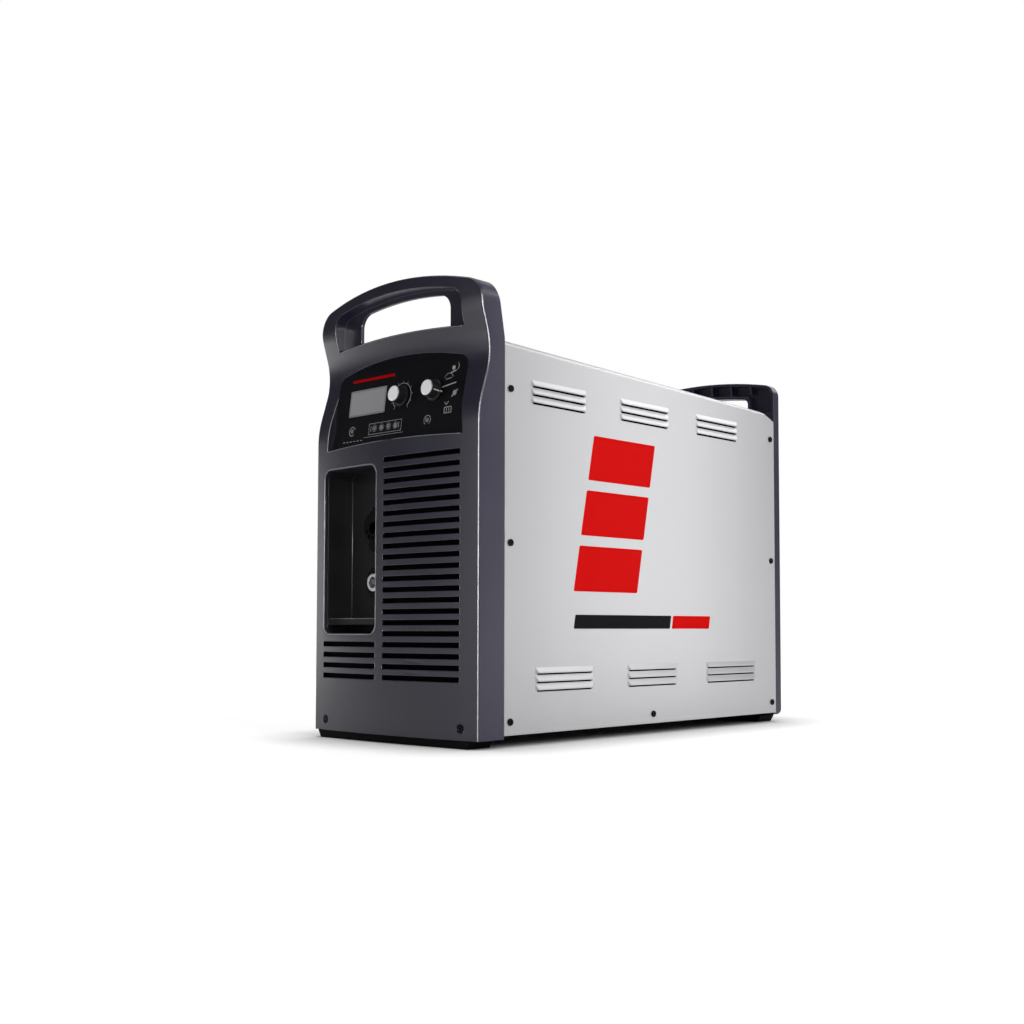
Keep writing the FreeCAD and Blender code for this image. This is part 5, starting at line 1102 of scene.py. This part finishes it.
class UNIT_OT_knobs(bpy.types.Operator):
    """Finish both knobs, their spun caps and the pointer's white line"""
    bl_idname = "unit.knobs"
    bl_label = "Knobs"

    def execute(self, context):
        lean = sizes().plate_lean
        normal = Vector((0, -math.cos(lean), math.sin(lean)))
        for name in ("current_knob", "mode_knob"):
            dress(name, "black", sizes().small_edge)
            low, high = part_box(name + "_cap")
            key = name + "_cap_face"
            FINISHES[key] = spun_cap(key, context.scene.unit_colours.cap_silver, (low + high) / 2, normal)
            light_only("cap_sheen", dress(name + "_cap", key))
        for node in ("encoder_shaft", "mode_switch_shaft", "encoder_body"):
            paint(node, "steel")
        paint("mode_switch_body", "black")
        paint("control_board", "circuit")
        self.pointer(pivot_of("mode_knob_turn"), normal)
        return {"FINISHED"}

    @staticmethod
    def pointer(pivot, normal):
        """White line across the mode knob's skirt, and one down the side of its grip."""
        heading, stroke = math.radians(-15), 1.3 * MM
        skirt_start, skirt_end, skirt_lift = 11.4 * MM, 15.8 * MM, 3.0 * MM
        grip_radius, grip_slope, grip_run, grip_lift = 10.62 * MM, math.radians(-95.5), 7.6 * MM, 3.2 * MM
        along = Vector((math.cos(heading), math.sin(heading)))
        skirt = Marks()
        skirt.bar(along * skirt_start, along * skirt_end, stroke)
        skirt.finish("mode_pointer_line", "ink", "silver_cap",
                     Matrix.Translation(pivot + normal * skirt_lift) @ plate_turn(), "mode_knob")
        side = Marks()
        side.bar((0, 0), (grip_run, 0), stroke)
        place = (Matrix.Translation(pivot + normal * grip_lift) @ plate_turn()
                 @ Matrix.Rotation(heading, 4, "Z")
                 @ Matrix.Translation((grip_radius, 0, 0))
                 @ Matrix.Rotation(grip_slope, 4, "Y"))
        side.finish("mode_side_line", "ink", "silver_cap", place, "mode_knob")


class UNIT_OT_bay_fittings(bpy.types.Operator):
    """Finish the torch socket, its release button and spring, and the work socket"""
    bl_idname = "unit.bay_fittings"
    bl_label = "Bay fittings"

    def execute(self, context):
        dress("torch_receptacle", "socket", sizes().small_edge)
        dress("work_receptacle_body", "socket", sizes().small_edge)
        dress("work_receptacle_socket", "chrome", 0.2 * MM)
        dress("torch_release_button", "socket", 0.2 * MM)
        paint("torch_contacts", "brass")
        self.release_coil()
        return {"FINISHED"}

    @staticmethod
    def release_coil():
        """Coil spring under the release button, wound through the height of the spring part."""
        low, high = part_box("release_spring")
        middle = (low + high) / 2
        turns, per_turn, wire, squashed_by = 4, 14, 0.45 * MM, 3.1 * MM
        radius = (high.x - low.x) / 2 - wire
        coil = []
        for share in evenly(0.0, 1.0, turns * per_turn):
            heading = 2 * math.pi * turns * share
            coil.append((middle.x + radius * math.cos(heading), middle.y + radius * math.sin(heading),
                         low.z + wire + (high.z - low.z - 2 * wire) * share))
        spring = tube_along(coil, wire, False, "release_coil", "steel", 2)
        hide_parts("release_spring")
        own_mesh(spring)


class UNIT_OT_rear_fittings(bpy.types.Operator):
    """Finish the switch, the gland, the gas inlet, the filter and the port, and add the blank plate"""
    bl_idname = "unit.rear_fittings"
    bl_label = "Rear fittings"

    def execute(self, context):
        for node, key in (("power_switch_body", "black"), ("power_switch_knob", "switch"),
                          ("cord_gland", "black"), ("cord_gland_nut", "black"), ("gas_inlet", "brass"),
                          ("filter_head", "black"), ("data_port", "black"), ("data_port_cap", "black")):
            dress(node, key, sizes().small_edge)
        dress("filter_bowl", "bowl")
        dress("filter_element", "sinter")
        self.switch_marks()
        self.blank_plate()
        return {"FINISHED"}

    @staticmethod
    def switch_marks():
        """A ring for off, a bar for on and four dots on the switch's plate, and a line on its grip."""
        pivot = pivot_of("power_switch_turn")
        ring_out, ring_radius, ring_stroke = 20.4 * MM, 1.7 * MM, 0.7 * MM
        bar_half, bar_width = 1.9 * MM, 0.8 * MM
        dots_out, dot_radius, plate_lift = 18.6 * MM, 0.5 * MM, 8.5 * MM
        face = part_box("rear_recess")[0].y + plate_lift
        marks = Marks()
        marks.arc((0, ring_out), ring_radius, ring_stroke)
        marks.bar((-ring_out, -bar_half), (-ring_out, bar_half), bar_width)
        for degrees in (112.5, 135.0, 157.5, 180.0):
            turn = math.radians(degrees)
            marks.disc((dots_out * math.cos(turn), dots_out * math.sin(turn)), dot_radius)
        marks.finish("switch_marks", "ink", "dark_plastic", rear_place(pivot.x, face, pivot.z))
        grip_start, grip_end, grip_width = 4.0 * MM, 17.0 * MM, 1.6 * MM
        grip = Marks()
        grip.bar((0, grip_start), (0, grip_end), grip_width)
        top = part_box("power_switch_knob")[1].y
        grip.finish("switch_grip_line", "ink", "switch_red", rear_place(pivot.x, top, pivot.z),
                    "power_switch")

    @staticmethod
    def blank_plate():
        """Blank metal plate with four rivets on the rear recess's back wall."""
        x, z, sunk = -70.0 * MM, 127.0 * MM, 0.02 * MM
        half_wide, half_tall, corner, thickness = 30 * MM, 14 * MM, 3 * MM, 0.4 * MM
        rivet_x, rivet_z, rivet_radius, rivet_lift = 26.0 * MM, 10.5 * MM, 1.7 * MM, 0.3 * MM
        place = rear_place(x, hit_y("rear_recess", x, z, -1.0) - sunk, z)
        plate = Marks()
        plate.panel((-half_wide, -half_tall), (half_wide, half_tall), corner)
        made = plate.finish("blank_rating_plate", "blank", "sink_aluminium", place)
        thick = made.modifiers.new("sheet", "SOLIDIFY")
        thick.thickness = thickness
        thick.offset = 1.0
        rivets = bmesh.new()
        for across in (-rivet_x, rivet_x):
            for up in (-rivet_z, rivet_z):
                spot = place @ Matrix.Translation((across, up, rivet_lift)) @ Matrix.Diagonal((1, 1, 0.5, 1))
                bmesh.ops.create_uvsphere(rivets, u_segments=16, v_segments=8, radius=rivet_radius,
                                          matrix=spot)
        for face in rivets.faces:
            face.smooth = True
        bmesh.ops.recalc_face_normals(rivets, faces=rivets.faces[:])
        piece("plate_rivets", rivets, "steel")


class UNIT_OT_feet(bpy.types.Operator):
    """Round and finish the rubber foot bars"""
    bl_idname = "unit.feet"
    bl_label = "Feet"

    def execute(self, context):
        for node in ("front_foot", "rear_foot"):
            dress(node, "rubber", 0.8 * MM, 3)
        return {"FINISHED"}


class UNIT_OT_inner_parts(bpy.types.Operator):
    """Finish the inner frame, the fan, the power parts and the hoses"""
    bl_idname = "unit.inner_parts"
    bl_label = "Inner parts"

    def execute(self, context):
        finishes = {
            # The inner frame takes the near-black colour of painted shade.
            "inner": ("base_pan", "centre_panel", "front_frame", "rear_frame"),
            "black": ("fan_frame", "fan_impeller", "power_modules", "supply_terminals"),
            "steel": ("fan_guard", "fan_screws"), "aluminium": ("heat_sink",), "circuit": ("power_board",),
            "brass": ("board_spacers", "gas_valve"), "sleeve": ("capacitors",),
            "ferrite": ("transformer_core",),
            "winding": ("transformer_windings", "input_choke", "output_choke"),
            "rubber": ("inlet_hose", "torch_hose"),
        }
        for key, nodes in finishes.items():
            for node in nodes:
                paint(node, key)
        return {"FINISHED"}


class UNIT_PT_sidebar(bpy.types.Panel):
    """Sizes, colours and steps of the unit"""
    bl_idname = "UNIT_PT_sidebar"
    bl_label = "Plasma cutter"
    bl_space_type = "VIEW_3D"
    bl_region_type = "UI"
    bl_category = "Plasma cutter"

    def draw(self, context):
        layout = self.layout
        for group in (context.scene.unit_sizes, context.scene.unit_colours):
            box = layout.box()
            for key in group.bl_rna.properties.keys():
                if key not in ("rna_type", "name"):
                    box.prop(group, key)
        for operator in STEPS:
            layout.operator(operator.bl_idname)


STEPS = (UNIT_OT_stage, UNIT_OT_mouldings, UNIT_OT_bay_lip, UNIT_OT_cover, UNIT_OT_side_bands,
         UNIT_OT_control_plate, UNIT_OT_knobs, UNIT_OT_bay_fittings, UNIT_OT_rear_fittings, UNIT_OT_feet,
         UNIT_OT_inner_parts)
CLASSES = (UnitSizes, UnitColours) + STEPS + (UNIT_PT_sidebar,)


def register():
    for item in CLASSES:
        bpy.utils.register_class(item)
    bpy.types.Scene.unit_sizes = PointerProperty(type=UnitSizes)
    bpy.types.Scene.unit_colours = PointerProperty(type=UnitColours)


def unregister():
    del bpy.types.Scene.unit_colours
    del bpy.types.Scene.unit_sizes
    for item in reversed(CLASSES):
        bpy.utils.unregister_class(item)


def main():
    register()
    for operator in STEPS:
        area, name = operator.bl_idname.split(".")
        getattr(getattr(bpy.ops, area), name)()


if __name__ == "__main__":
    main()
